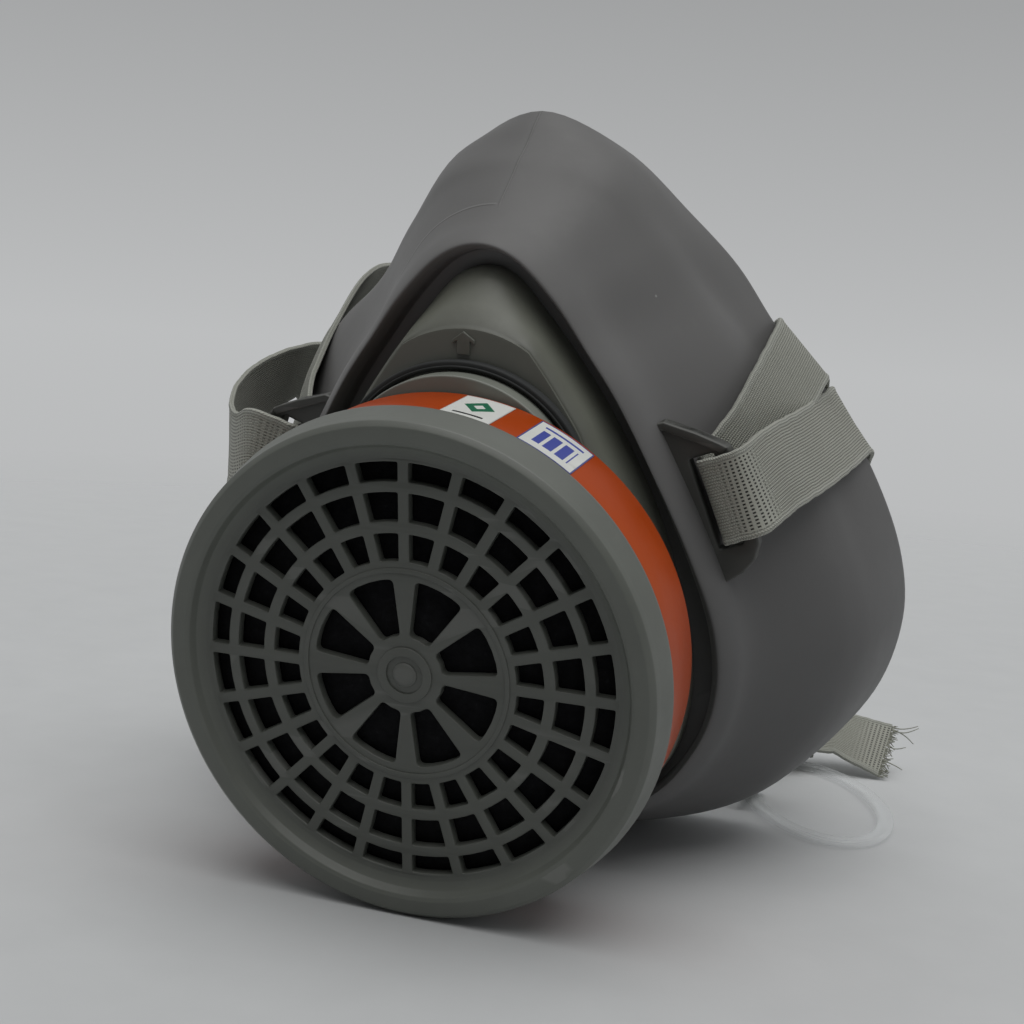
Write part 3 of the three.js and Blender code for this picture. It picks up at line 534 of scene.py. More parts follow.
def patch_material(name, kind):
    """printed sticker: white paper, thin blue border, one plain geometric mark"""
    m = NT(name)
    u, v = m.uv()
    cu, cv = m.math("SUBTRACT", u, 0.5), m.math("SUBTRACT", v, 0.5)
    au, av = m.math("ABSOLUTE", cu), m.math("ABSOLUTE", cv)
    white = m.ramp(m.noise(60, 4, 0.6), [(0.3, lin(206, 208, 204)), (0.7, lin(226, 227, 223))])
    edge = m.math("GREATER_THAN", m.math("MAXIMUM", au, av), 0.476)
    if kind == "green":
        ink, border = lin(22, 104, 74), lin(196, 198, 196)
        mark = m.math("LESS_THAN", m.math("ADD", m.math("MULTIPLY", au, 1.0), m.math("MULTIPLY", m.math("ABSOLUTE", m.math("SUBTRACT", v, 0.56)), 1.15)), 0.31)
        hole = m.math("LESS_THAN", m.math("ADD", m.math("MULTIPLY", au, 1.0), m.math("MULTIPLY", m.math("ABSOLUTE", m.math("SUBTRACT", v, 0.56)), 1.15)), 0.12)
        mark = m.math("MULTIPLY", mark, m.math("SUBTRACT", 1.0, hole))
        bar = m.math("MULTIPLY", m.math("LESS_THAN", au, 0.3), m.math("LESS_THAN", m.math("ABSOLUTE", m.math("SUBTRACT", v, 0.14)), 0.03))
        second = lin(40, 44, 46)
    else:
        ink, border = lin(62, 74, 158), lin(70, 78, 140)
        mark = m.math("MULTIPLY", m.math("LESS_THAN", au, 0.33), m.math("LESS_THAN", m.math("ABSOLUTE", m.math("SUBTRACT", v, 0.44)), 0.25))
        stripe = m.math("LESS_THAN", m.math("ABSOLUTE", m.math("SUBTRACT", m.math("FRACT", m.math("MULTIPLY", u, 4.5)), 0.5)), 0.13)
        mark = m.math("MULTIPLY", mark, m.math("SUBTRACT", 1.0, stripe))
        bar = m.math("MULTIPLY", m.math("LESS_THAN", au, 0.36), m.math("LESS_THAN", m.math("ABSOLUTE", m.math("SUBTRACT", v, 0.83)), 0.03))
        second = ink
    col = m.mix(mark, white, ink)
    col = m.mix(bar, col, second)
    col = m.mix(edge, col, border)
    col = m.mix(m.maprange(m.noise(180, 6, 0.7), 0.62, 0.78, 0.0, 0.35), col, lin(150, 138, 122))
    m.set(Base_Color=col, Roughness=0.4, Specular_IOR_Level=0.5, Normal=m.bump(m.noise(120, 4, 0.6), 0.1, 0.0002))
    return m


m_patch_a = patch_material("label_print_green", "green")
m_patch_b = patch_material("label_print_blue", "blue")

m_clear = NT("clear_plastic")
if True:
    m = m_clear
    lw = m.n("LayerWeight")
    lw.inputs["Blend"].default_value = 0.35
    alpha = m.maprange(lw.outputs["Facing"], 0.0, 1.0, 0.06, 0.42)
    rgh = m.maprange(m.noise(120, 5, 0.6), 0.3, 0.7, 0.08, 0.26)
    col = m.ramp(m.noise(40, 4, 0.6), [(0.3, (0.72, 0.75, 0.76)), (0.7, (0.82, 0.84, 0.85))])
    m.set(Base_Color=col, Roughness=rgh, Specular_IOR_Level=0.6, Alpha=alpha, Normal=m.bump(m.noise(200, 4, 0.6), 0.15, 0.0002))

# woven elastic: u and v hold millimetres along and across the band, the attribute "open" the stretched places
STRAP_W = 15.0
m_web = NT("webbing")
if True:
    m = m_web
    u, v = m.uv()
    op = m.n("Attribute", attribute_name="open").outputs["Fac"]
    # rows of rubber cores run along the band, the knitted yarn crosses them in short slanted stitches
    jit = m.noise(420, 3, 0.6)
    uu = m.math("ADD", u, m.math("MULTIPLY", m.math("SUBTRACT", jit, 0.5), 0.5))
    rows = m.math("FRACT", m.math("MULTIPLY", v, 1 / 0.5))
    rowh = m.math("SINE", m.math("MULTIPLY", rows, math.pi))
    odd = m.math("MODULO", m.math("FLOOR", m.math("MULTIPLY", v, 1 / 0.5)), 2.0)
    slant = m.math("ADD", uu, m.math("MULTIPLY", m.math("SUBTRACT", m.math("MULTIPLY", odd, 2.0), 1.0), m.math("MULTIPLY", rows, 0.24)))
    st = m.math("FRACT", m.math("MULTIPLY", slant, 1 / 0.42))
    sth = m.math("SINE", m.math("MULTIPLY", st, math.pi))
    knit = m.math("MULTIPLY", m.math("POWER", rowh, 0.6), m.math("ADD", m.math("MULTIPLY", sth, 0.55), 0.45))
    # opened weave: square holes between cores and yarns
    hv = m.math("ABSOLUTE", m.math("SUBTRACT", m.math("FRACT", m.math("MULTIPLY", v, 1 / 0.62)), 0.5))
    hu = m.math("ABSOLUTE", m.math("SUBTRACT", m.math("FRACT", m.math("MULTIPLY", u, 1 / 0.95)), 0.5))
    hole = m.maprange(m.math("MAXIMUM", m.math("MULTIPLY", hv, 1.0), m.math("MULTIPLY", hu, 1.05)), 0.16, 0.30, 1.0, 0.0)
    grid = m.math("SUBTRACT", 1.0, hole)
    ev = m.math("ABSOLUTE", m.math("SUBTRACT", v, STRAP_W / 2))
    selv = m.maprange(ev, STRAP_W / 2 - 1.25, STRAP_W / 2 - 0.95, 0.0, 1.0)
    inner = m.math("SUBTRACT", 1.0, selv)
    opm = m.math("MULTIPLY", op, inner)
    height = m.math("ADD", m.math("MULTIPLY", knit, m.math("SUBTRACT", 1.0, opm)), m.math("MULTIPLY", grid, opm))
    shade = m.noise(34, 4, 0.6)
    base = m.ramp(shade, [(0.3, lin(157, 158, 148)), (0.55, lin(168, 169, 159)), (0.8, lin(178, 179, 170))])
    # painted shade: the valleys between stitches and the opened holes are coloured dark
    painted_crevice_shade = m.mix(opm, lin(116, 117, 107), lin(38, 39, 35))
    fac = m.math("ADD", m.math("MULTIPLY", m.maprange(knit, 0.15, 0.75, 0.0, 1.0), m.math("SUBTRACT", 1.0, opm)), m.math("MULTIPLY", grid, opm))
    col = m.mix(fac, painted_crevice_shade, base)
    col = m.mix(m.math("MULTIPLY", selv, 0.4), col, lin(178, 180, 172))
    fuzz = m.noise(2200, 3, 0.7)
    col = m.mix(m.maprange(fuzz, 0.55, 0.8, 0.0, 0.25), col, lin(198, 199, 192))
    nrm = m.bump(height, 0.75, 0.00035)
    nrm = m.bump(fuzz, 0.25, 0.00012, nrm)
    m.set(Base_Color=col, Roughness=0.92, Specular_IOR_Level=0.2, Normal=nrm, Sheen_Weight=0.18, Sheen_Roughness=0.6)

m_yarn = NT("webbing_yarn")
if True:
    m = m_yarn
    f = m.noise(1500, 4, 0.7)
    col = m.ramp(f, [(0.3, lin(120, 121, 110)), (0.7, lin(168, 169, 158))])
    m.set(Base_Color=col, Roughness=0.95, Specular_IOR_Level=0.15, Normal=m.bump(f, 0.5, 0.0001))

# ---------------------------------------------------------------- filter cap: grille plate and flared rim
rim_pts = [(34.6, -1.75), (34.6, 0.0), (35.4, 0.05), (36.7, 1.0), (37.25, 2.2), (37.9, 2.5), (40.1, 2.5), (41.0, 1.7),
           (41.25, 0.3), (42.1, -3.4), (42.2, -4.0), (40.8, -4.0), (40.6, -1.75)]
rim_prof = fillet(rim_pts, [0, 0.3, 0.5, 0.6, 0.5, 0.4, 0.5, 0.5, 0.6, 0.4, 0.25, 0.2, 0.2], 3)
v, f = revolve(rim_prof, 160)
cap_rim = make("cap_rim", v, f, m_cap)


def rounded(poly, r, n=3):
    return [(p[0], p[1]) for p in fillet([(x, y, 0) for x, y in poly], r, n)]


holes = []
for r0, r1 in ((18.54, 22.97), (24.82, 29.45), (31.19, 34.24)):
    for i in range(24):
        c, h = math.pi / 2 + 2 * math.pi * (i + 0.5) / 24, math.pi / 24
        g0, g1 = h - math.asin(0.9 / r0), h - math.asin(0.9 / r1)
        p = [(r1, a) for a in (-g1, -g1 / 3, g1 / 3, g1)] + [(r0, a) for a in (g0, g0 / 3, -g0 / 3, -g0)]
        p = [(r * math.cos(c + a), r * math.sin(c + a)) for r, a in p]
        holes.append(rounded(p, 0.28, 2))
for i in range(8):
    c = math.pi / 2 + 2 * math.pi * (i + 0.5) / 8
    p = [(15.6, a) for a in (-0.27, -0.135, 0.0, 0.135, 0.27)] + [(6.4, a) for a in (0.27, 0.0, -0.27)]
    holes.append(rounded([(r * math.cos(c + a), r * math.sin(c + a)) for r, a in p], 0.9, 4))
grille = plate("cap_grille", circle(36.0, 144), holes, -1.8, 0.0, 0.2, m_cap, 2)
# raised rosette on the hub, two low rings
hub = plate("cap_hub", circle(4.6, 48), [circle(3.1, 40)], -0.2, 0.35, 0.15, m_cap, 2)
dome_prof = [(0.001, -0.2), (2.0, -0.2), (2.0, 0.15), (1.7, 0.45), (1.0, 0.62), (0.001, 0.68)]
v, f = revolve(dome_prof, 40)
dome = make("cap_dome", v, f, m_cap)
ring1 = plate("cap_ring_a", circle(17.5, 96), [circle(16.7, 96)], -0.3, 0.22, 0.12, m_cap, 2)
cap = join("filter_cap_moulding", [cap_rim, grille, hub, dome, ring1])
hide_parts("filter_cap")
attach(cap, "cap")

# ---------------------------------------------------------------- cartridge label and stickers (the shell profile here is not used)
lab_prof = fillet([(41.05, -4.55), (41.42, -4.55), (41.42, -18.95), (41.05, -18.95)], 0.08, 2)
v, f = revolve(lab_prof, 160)
label = make("label_wrap", v, f, m_label, angle=40)
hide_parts("label_band")
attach(label, "cartridge")
shell_prof = fillet([(38.6, -2.2), (40.2, -2.2), (40.2, -4.4), (40.7, -4.7), (40.7, -18.9), (41.25, -19.05), (41.35, -19.35), (40.4, -19.55), (39.2, -19.3),
                     (17.4, -19.2), (17.4, -29.0), (15.4, -29.0), (15.4, -17.6), (38.6, -17.6)], 0.25, 2)


def patch(name, a0, a1, mat, node):
    """thin curved sticker with rounded corners; u runs round the cartridge, v from its rear edge to its front"""
    na, nz = 24, 12
    verts, uvs, faces = [], [], []
    for side, rr in ((0, 41.52), (1, 41.43)):
        for i in range(na + 1):
            for j in range(nz + 1):
                a = math.radians(90 - a0 - (a1 - a0) * i / na)
                z = -18.2 + 12.6 * j / nz
                verts.append(R((rr * math.cos(a), rr * math.sin(a), z)))
                uvs.append((i / na, 1 - j / nz))
    k = (na + 1) * (nz + 1)
    idx = lambda s, i, j: s * k + i * (nz + 1) + j
    for i in range(na):
        for j in range(nz):
            faces.append((idx(0, i, j), idx(0, i + 1, j), idx(0, i + 1, j + 1), idx(0, i, j + 1)))
            faces.append((idx(1, i, j + 1), idx(1, i + 1, j + 1), idx(1, i + 1, j), idx(1, i, j)))
    for i in range(na):
        faces.append((idx(0, i + 1, 0), idx(0, i, 0), idx(1, i, 0), idx(1, i + 1, 0)))
        faces.append((idx(0, i, nz), idx(0, i + 1, nz), idx(1, i + 1, nz), idx(1, i, nz)))
    for j in range(nz):
        faces.append((idx(0, 0, j), idx(0, 0, j + 1), idx(1, 0, j + 1), idx(1, 0, j)))
        faces.append((idx(0, na, j + 1), idx(0, na, j), idx(1, na, j), idx(1, na, j + 1)))
    o = make(name, verts, faces, mat, uv=uvs, angle=40)
    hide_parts(node)
    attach(o, "cartridge")
    return o


patch("sticker_green", 4.8, 16.3, m_patch_a, "label_patch_green")
patch("sticker_blue", 22.8, 36.5, m_patch_b, "label_patch_blue")

# ---------------------------------------------------------------- seat and seal
bore = []
for i in range(3):
    a, h = 2 * math.pi * i / 3 + math.pi / 2 + math.radians(60), 0.235
    nxt = a + 2 * math.pi / 3
    bore += [(20.8 * math.cos(a - h + 2 * h * k / 6), 20.8 * math.sin(a - h + 2 * h * k / 6)) for k in range(7)]
    bore += [(17.8 * math.cos(a + h + (nxt - a - 2 * h) * k / 14), 17.8 * math.sin(a + h + (nxt - a - 2 * h) * k / 14)) for k in range(15)]
SEAT_TOP, SEAT_LOW_R = (22.6, 21.5), 33.0
seat = plate("seat_boss", egg(SEAT_TOP, SEAT_LOW_R), [bore], -19.6, -24.2, 0.35, m_seat, 3)
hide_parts("cartridge_seat")
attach(seat, "mask")
seal_a = plate("seal_a", egg(SEAT_TOP, SEAT_LOW_R, 1.8), [egg(SEAT_TOP, SEAT_LOW_R, 0.25)], -23.0, -25.1, 0.45, m_seal, 3)
seal_b = plate("seal_b", egg(SEAT_TOP, SEAT_LOW_R, 1.0), [egg(SEAT_TOP, SEAT_LOW_R, 0.62)], -22.7, -23.6, 0.16, m_seal, 2)
seal = join("seat_seal_ring", [seal_a, seal_b])
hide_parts("seat_seal")
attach(seal, "mask")

# ---------------------------------------------------------------- facepiece and housing
H = [[0, 59.9], [5.0, 58.2], [10.7, 52.0], [16.4, 44.8], [22.6, 35.6], [29.6, 22.4], [34.2, 9.4], [37.2, -3],
  [37.6, -14], [34.6, -24.5], [26.4, -33.2], [14.2, -38.4], [0, -40]]
B = [[0, 64.2, -31.6], [6.9, 62.0, -31.4], [13.8, 55.4, -31.3], [19.4, 47.6, -31.2], [24.9, 39.6, -31.2],
  [31.4, 27.6, -31.3], [38.0, 14.2, -31.5], [42.6, 2.0, -31.8], [43.4, -9.5, -32], [40.0, -20.5, -32.4],
  [32.0, -31.0, -33], [17.5, -38.8, -34], [0, -41.6, -35]]
VL = [[0, 68.2, -39.5], [10.2, 65.2, -40], [17.6, 57.9, -41], [22.4, 49.6, -42], [28.4, 41.4, -43],
  [35.4, 28.8, -43.2], [42.4, 14.6, -43.2], [47.2, 2.2, -42.4], [48.4, -9.8, -41.6], [45.0, -22.4, -41.6],
  [36.0, -34.2, -42], [19.8, -42.6, -43], [0, -46.2, -44]]
C1 = [[0, 73.4, -47.4], [12.8, 70.6, -49.6], [21.6, 62.0, -52.5], [27.8, 53, -55], [35.2, 44.2, -57.5],
  [44.0, 31.2, -58.4], [51.6, 16.4, -57.6], [57.0, 2.4, -56], [58.2, -10.2, -55], [54.4, -24.6, -54],
  [43.4, -38.8, -53.6], [24, -46.8, -53.6], [0, -50.0, -54]]
C2 = [[0, 79.0, -55.8], [14.8, 75.6, -58.2], [24.4, 65.0, -63], [31.2, 54.8, -66.8], [39.0, 44.6, -70.4],
  [48.4, 31.6, -72.4], [56.8, 17.0, -72], [63.2, 2.6, -70.6], [65.0, -10.8, -69], [60.6, -25.6, -67],
  [48.0, -40.6, -66], [27.0, -49.8, -65.6], [0, -53.0, -65.6]]
G = [[0, 84.6, -63.4], [15.0, 78.0, -67.2], [26.0, 66.8, -73], [34.4, 57.0, -77.6], [41.8, 45.2, -81.6],
  [52.0, 32.4, -84.8], [60.8, 18.2, -86.2], [67.2, 2.6, -86], [68.6, -11.4, -84], [63.6, -26.6, -81],
  [50.0, -41.8, -78.4], [29.2, -51.0, -77], [0, -54.6, -77]]


def around(table, t, z=0.0):
    full = [Vector((q[0], q[1], q[2] if len(q) > 2 else z)) for q in table]
    full += [Vector((-q.x, q.y, q.z)) for q in reversed(full[1:-1])]
    return catmull(full, t % 1.0, closed=True)


def smooth_open(pts, per):
    out = []
    for k in range(len(pts) - 1):
        for i in range(per):
            out.append(catmull(pts, (k + i / per) / (len(pts) - 1)))
    out.append(pts[-1].copy())
    return out


NR = 176
rows = []
for i in range(NR):
    t = i / NR
    h, b, vv = around(H, t, -33.2), around(B, t), around(VL, t)
    c1, c2, g = around(C1, t), around(C2, t), around(G, t)
    e = Vector((h.x, h.y, 0)).normalized()
    r0 = b.lerp(h, 0.31); r0.z = -34.0
    r1 = b.lerp(h, 0.17); r1.z = b.z - 0.35
    r3 = b.lerp(vv, 0.42); r3.z = b.z - 3.2
    r6 = c1.lerp(c2, 0.5) + e * (0.7 - 0.45 * math.exp(-(c1.x / 16) ** 2))
    r8 = c2.lerp(g, 0.55) + e * (0.15 + 0.6 * math.exp(-((abs(g.x) - 17) / 10) ** 2))
    if g.x < 0:                       # the left cheek bulges a little towards its strap
        k = math.exp(-((r6.y - 41.0) / 8.5) ** 2)
        c1, r6, c2, r8 = c1 + e * (2.0 * k), r6 + e * (2.6 * k), c2 + e * (2.1 * k), r8 + e * (1.1 * k)
    rows.append((h, e, [r0, r1, b, r3, vv, c1, r6, c2, r8, g]))
secs = []
for i in range(NR):
    h, e, row = rows[i]
    prv, nxt = rows[i - 1][2], rows[(i + 1) % NR][2]

    def normal(j):
        along = nxt[j] - prv[j]
        down = row[min(j + 1, 9)] - row[max(j - 1, 0)]
        n = along.cross(down).normalized()
        return -n if n.dot(e) < 0 else n
    g, ng = row[9], normal(9)
    tau = (g - row[8]).normalized()
    lip = lambda a, b: g - ng * a + tau * b
    # the free edge: a full round bead, then the reflex seal turned inward
    outer = smooth_open(row, 5)
    edge = smooth_open([g, lip(0.5, 0.75), lip(1.6, 1.15), lip(3.4, 1.0), lip(6.0, 0.4), lip(8.6, -0.9), lip(10.2, -2.6), lip(10.5, -3.7), lip(10.1, -4.4),
                        lip(8.4, -3.7), lip(6.2, -2.7), lip(4.2, -2.9), lip(3.2, -3.8)], 2)[1:]
    inn = [row[j] - normal(j) * 3.0 for j in (8, 7, 6, 5, 4)]
    inner = smooth_open(inn, 3)
    b = row[2]
    ra = h - e * 0.08; ra.z = -41.2
    rb = h - e * 0.08; rb.z = -37.75
    rc = h + e * 0.45; rc.z = -37.45
    rd = b.lerp(h, 0.40); rd.z = -37.3
    re_ = b.lerp(h, 0.345); re_.z = -36.9
    rf_ = b.lerp(h, 0.33); rf_.z = -35.6
    secs.append([R(p) for p in outer + edge + inner + [ra, ra.lerp(rb, 0.5), rb, rc, rd, re_, rf_]])
v, f = loft(secs, True)
face = make("facepiece_moulding", v, f, m_rubber)
# opening for the exhalation valve under the chin
EX_T = math.radians(69)


def ex(p):
    x, y, z = p
    z -= 4.6
    y, z = y * math.cos(EX_T) - z * math.sin(EX_T), y * math.sin(EX_T) + z * math.cos(EX_T)
    return R((x, y - 49.2, z - 51.5))


v, f = [], []
for k, z in enumerate((-14, 12)):
    v += [ex((12.25 * math.cos(2 * math.pi * i / 64), 12.25 * math.sin(2 * math.pi * i / 64), z)) for i in range(64)]
f = [(i, (i + 1) % 64, 64 + (i + 1) % 64, 64 + i) for i in range(64)] + [tuple(range(63, -1, -1)), tuple(range(64, 128))]
cutter = make("cut", v, f, m_rubber, smooth=False)
bo = face.modifiers.new("cut", "BOOLEAN")
bo.operation, bo.object, bo.solver = "DIFFERENCE", cutter, "EXACT"
bpy.context.view_layer.update()
dg = bpy.context.evaluated_depsgraph_get()
me = bpy.data.meshes.new_from_object(face.evaluated_get(dg), depsgraph=dg)
face.modifiers.clear()
face.data = me
me.set_sharp_from_angle(angle=math.radians(50))
bpy.data.objects.remove(cutter)
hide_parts("facepiece")
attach(face, "mask")

# housing: egg-shaped flat face, crisp edge, sloping skirt up to the apex, flange under the rubber
FACE_TOP, FACE_LOW_R, FACE_Z = (30.7, 20.2), 30.0, -25.4


def polar(poly, a):
    dx, dy = math.cos(a), math.sin(a)
    best = 0.0
    for i in range(len(poly)):
        (x1, y1), (x2, y2) = poly[i], poly[(i + 1) % len(poly)]
        ex_, ey = x2 - x1, y2 - y1
        den = dx * ey - dy * ex_
        if abs(den) < 1e-9:
            continue
        s = (x1 * ey - y1 * ex_) / den
        u = (x1 * dy - y1 * dx) / den
        if u >= -1e-6 and u <= 1 + 1e-6 and s > best:
            best = s
    return best


h_poly = [(p.x, p.y) for p in (around(H, i / 240) for i in range(240))]
e_poly = egg(FACE_TOP, FACE_LOW_R)
NH = 192
secs = []
for i in range(NH):
    a = math.pi / 2 - 2 * math.pi * i / NH
    rh = polar(h_poly, a)
    rf = min(polar(e_poly, a), rh - 3.2)
    prof = [(20.9, FACE_Z), (rf - 0.55, FACE_Z), (rf - 0.12, FACE_Z - 0.12), (rf, FACE_Z - 0.5)]
    q0, q1 = Vector((rf, FACE_Z - 0.5)), Vector((rh - 0.2, -34.2))
    mid = Vector((rf + (rh - rf) * 0.35, FACE_Z - 1.9 - (rh - rf) * 0.18))
    for k in range(1, 8):
        t = k / 8
        w = q0 * (1 - t) ** 2 + (mid * 2 - (q0 + q1) / 2) * 2 * t * (1 - t) + q1 * t * t
        prof.append((w.x, w.y))
    prof += [(rh - 0.2, -34.2), (rh, -35.0), (rh, -40.6), (rh - 2.4, -40.6), (rh - 2.4, -37.2), (max(rf - 1.6, 21.9), -29.6), (20.9, -29.6)]
    secs.append([R((r * math.cos(a), r * math.sin(a), z)) for r, z in prof])
v, f = loft(secs, True)
hous = make("housing_body", v, f, m_housing, angle=38)
arrow = plate("housing_arrow", rounded([(-1.1, 46.5), (1.1, 46.5), (1.1, 48.9), (1.95, 48.2), (1.95, 49.0), (0, 50.4), (-1.95, 49.0), (-1.95, 48.2), (-1.1, 48.9)], 0.12, 2),
              [], FACE_Z - 0.5, FACE_Z + 0.38, 0.16, m_housing, 2)
hous = join("front_housing_moulding", [hous, arrow])
hous.data.materials[0] = m_housing.m
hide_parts("front_housing")
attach(hous, "mask")

# ---------------------------------------------------------------- strap lugs
BM, BD, BN = (45.4, 24.0), (0.3616, -0.9323), (0.9323, 0.3616)
on_lug = lambda s, t: (BM[0] + BN[0] * s + BD[0] * t, BM[1] + BN[1] * s + BD[1] * t)
lug_out = [on_lug(*q) for q in ((-12.4, -16.2), (-9.2, -15.9), (-4.6, -12.6), (-1.4, -9.9), (-0.3, -8.8), (0, -7.4),
           (0, 5.6), (-0.5, 8.4), (-2.0, 10.8), (-4.6, 12.4), (-8.4, 13.4), (-12.0, 13.0))]
lug_slot = [on_lug(*q) for q in ((-7.2, -8.6), (-2.9, -8.6), (-2.9, 7.4), (-7.2, 7.4))]
lip_out = [on_lug(*q) for q in ((-12.4, -16.2), (-9.2, -15.9), (-4.6, -12.6), (-1.4, -9.9), (-0.3, -8.8), (-1.6, -8.2), (-5.4, -11.2), (-9.6, -14.5), (-12.4, -14.8))]
for side, tag in ((1, "right"), (-1, "left")):
    fl = lambda pts: [(side * x, y) for x, y in pts]
    body = plate("lug_" + tag, rounded(fl(lug_out), 0.9, 4), [rounded(fl(lug_slot), 0.5, 3)], -37.0, -40.0, 0.45, m_lug, 3)
    lipo = plate("lug_lip_" + tag, rounded(fl(lip_out), 0.3, 2), [], -36.55, -39.6, 0.3, m_lug, 2)
    lug = join("strap_lug_moulding_" + tag, [body, lipo])
    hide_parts("strap_lug_" + tag)
    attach(lug, "mask")

# ---------------------------------------------------------------- straps: stations give the centre and the direction across
STRAP_R = [
    ((41.2, -54.9, -93), (0.3, 0.17, 0.94)),
    ((37.6, -54.3, -93.6), (0.3, 0.17, 0.94)),
    ((37.2, -50.8, -94.6), (0.4, 0.1, 0.9)),
    ((40, -42, -98), (0.6, -0.05, 0.8)),
    ((43, -22, -102.4), (0.76, -0.2, 0.5)),
    ((42.6, 8, -100.6), (0.75, -0.5, 0.1)),
    ((43, 32, -94.4), (0.66, -0.72, -0.15)),
    ((44.6, 42.2, -88), (0.62, -0.76, -0.19)),
    ((46.2, 42.4, -80.4), (0.62, -0.76, -0.19)),
    ((45.9, 36.6, -64), (0.52, -0.84, -0.1)),
    ((43.837, 30.794, -53.5), (0.362, -0.932, 0)),
    ((42.167, 27.358, -47.6), (0.362, -0.932, 0)),
    ((40.554, 24.051, -43.4), (0.362, -0.932, 0)),
    ((40.071, 22.255, -40.4), (0.362, -0.932, 0)),
    ((39.858, 22.387, -37.6), (0.362, -0.932, 0)),
    ((40.392, 22.808, -36), (0.362, -0.932, 0)),
    ((42.35, 23.568, -35.7), (0.362, -0.932, 0)),
    ((46.079, 25.014, -36.3), (0.362, -0.932, 0)),
    ((49.4, 27.2, -45), (0.42, -0.9, 0)),
    ((52.6, 27.4, -62), (0.48, -0.87, -0.05)),
    ((56, 27.6, -79), (0.54, -0.83, -0.1)),
    ((56.8, 27.2, -88.4), (0.54, -0.83, -0.1)),
    ((52.8, 18.6, -97.4), (0.56, -0.8, 0.2)),
    ((48.2, -2, -106.6), (0.6, -0.55, 0.5)),
    ((41.4, -22, -112.6), (0.45, -0.3, 0.8)),
    ((34, -40, -116.2), (0.3, -0.1, 0.93)),
    ((28.6, -53, -118.6), (0.1, 0.1, 0.98)),
    ((25.2, -60.4, -119.2), (0, 0.18, 0.98)),
    ((21.6, -61.9, -119), (0, 0.18, 0.98)),
    ((18.4, -61.8, -119), (0, 0.18, 0.98)),
    ((16.6, -61.25, -119), (0, 0.18, 0.98)),
    ((16, -60.2, -119), (0, 0.18, 0.98)),
    ((16.6, -59.2, -119), (0, 0.18, 0.98)),
    ((18.4, -58.6, -119), (0, 0.18, 0.98)),
    ((22, -58.3, -119.2), (0, 0.16, 0.98)),
    ((28, -57.6, -120.2), (0, 0.1, 1)),
    ((36, -56.2, -123.4), (-0.05, -0.1, 0.98)),
    ((44, -54.8, -128.4), (-0.2, -0.35, 0.88)),
    ((51, -54.7, -131.8), (-0.3, -0.48, 0.82)),
    ((57, -56.4, -132.2), (-0.32, -0.5, 0.8)),
    ((62.6, -58.9, -132.2), (-0.33, -0.5, 0.8)),
]
STRAP_L = [
    ((43, -61.1, -123.4), (0.64, -0.14, -0.77)),
    ((36, -62.1, -129.4), (0.62, -0.14, -0.78)),
    ((28, -63.4, -135), (0.5, -0.15, -0.86)),
    ((11, -65, -141.4), (0.2, -0.18, -0.96)),
    ((-12, -65.6, -143.4), (-0.1, -0.2, -0.96)),
    ((-31, -61, -138.4), (-0.4, -0.1, -0.9)),
    ((-43, -46, -128), (-0.75, -0.1, -0.6)),
    ((-44, -22, -119), (-0.8, -0.3, -0.4)),
    ((-43.6, 8, -108), (-0.75, -0.5, -0.25)),
    ((-43.4, 34.4, -97), (-0.66, -0.7, -0.22)),
    ((-44.4, 45.6, -87.6), (-0.62, -0.76, -0.19)),
    ((-46, 45.2, -79.6), (-0.62, -0.76, -0.19)),
    ((-46.2, 38, -64), (-0.52, -0.84, -0.1)),
    ((-43.837, 30.794, -53.5), (-0.362, -0.932, 0)),
    ((-42.167, 27.358, -47.6), (-0.362, -0.932, 0)),
    ((-40.554, 24.051, -43.4), (-0.362, -0.932, 0)),
    ((-40.071, 22.255, -40.4), (-0.362, -0.932, 0)),
    ((-39.858, 22.387, -37.6), (-0.362, -0.932, 0)),
    ((-40.392, 22.808, -36), (-0.362, -0.932, 0)),
    ((-42.35, 23.568, -35.7), (-0.362, -0.932, 0)),
    ((-45.887, 24.403, -35.8), (-0.34, -0.94, 0.03)),
    ((-51.9, 22.3, -40.2), (-0.15, -0.98, 0.05)),
    ((-58.1, 22.2, -49.6), (-0.05, -1, 0)),
    ((-62.4, 24, -59), (-0.1, -0.99, 0)),
    ((-64, 26.4, -69), (-0.2, -0.97, -0.05)),
    ((-62.6, 28.6, -80), (-0.36, -0.93, -0.08)),
    ((-60, 28.8, -89), (-0.54, -0.83, -0.1)),
    ((-57.4, 20, -97.6), (-0.54, -0.82, 0.1)),
    ((-52.6, -2, -106), (-0.6, -0.55, 0.35)),
    ((-49.6, -26, -111), (-0.45, -0.3, 0.8)),
    ((-44, -46, -115), (-0.2, -0.1, 0.95)),
    ((-38.6, -57.6, -117), (0, 0.18, 0.98)),
    ((-32.6, -61.8, -118.6), (0, 0.18, 0.98)),
    ((-26, -62.3, -119), (0, 0.18, 0.98)),
    ((-18, -62.3, -119), (0, 0.18, 0.98)),
    ((-11, -62.3, -119), (0, 0.18, 0.98)),
]


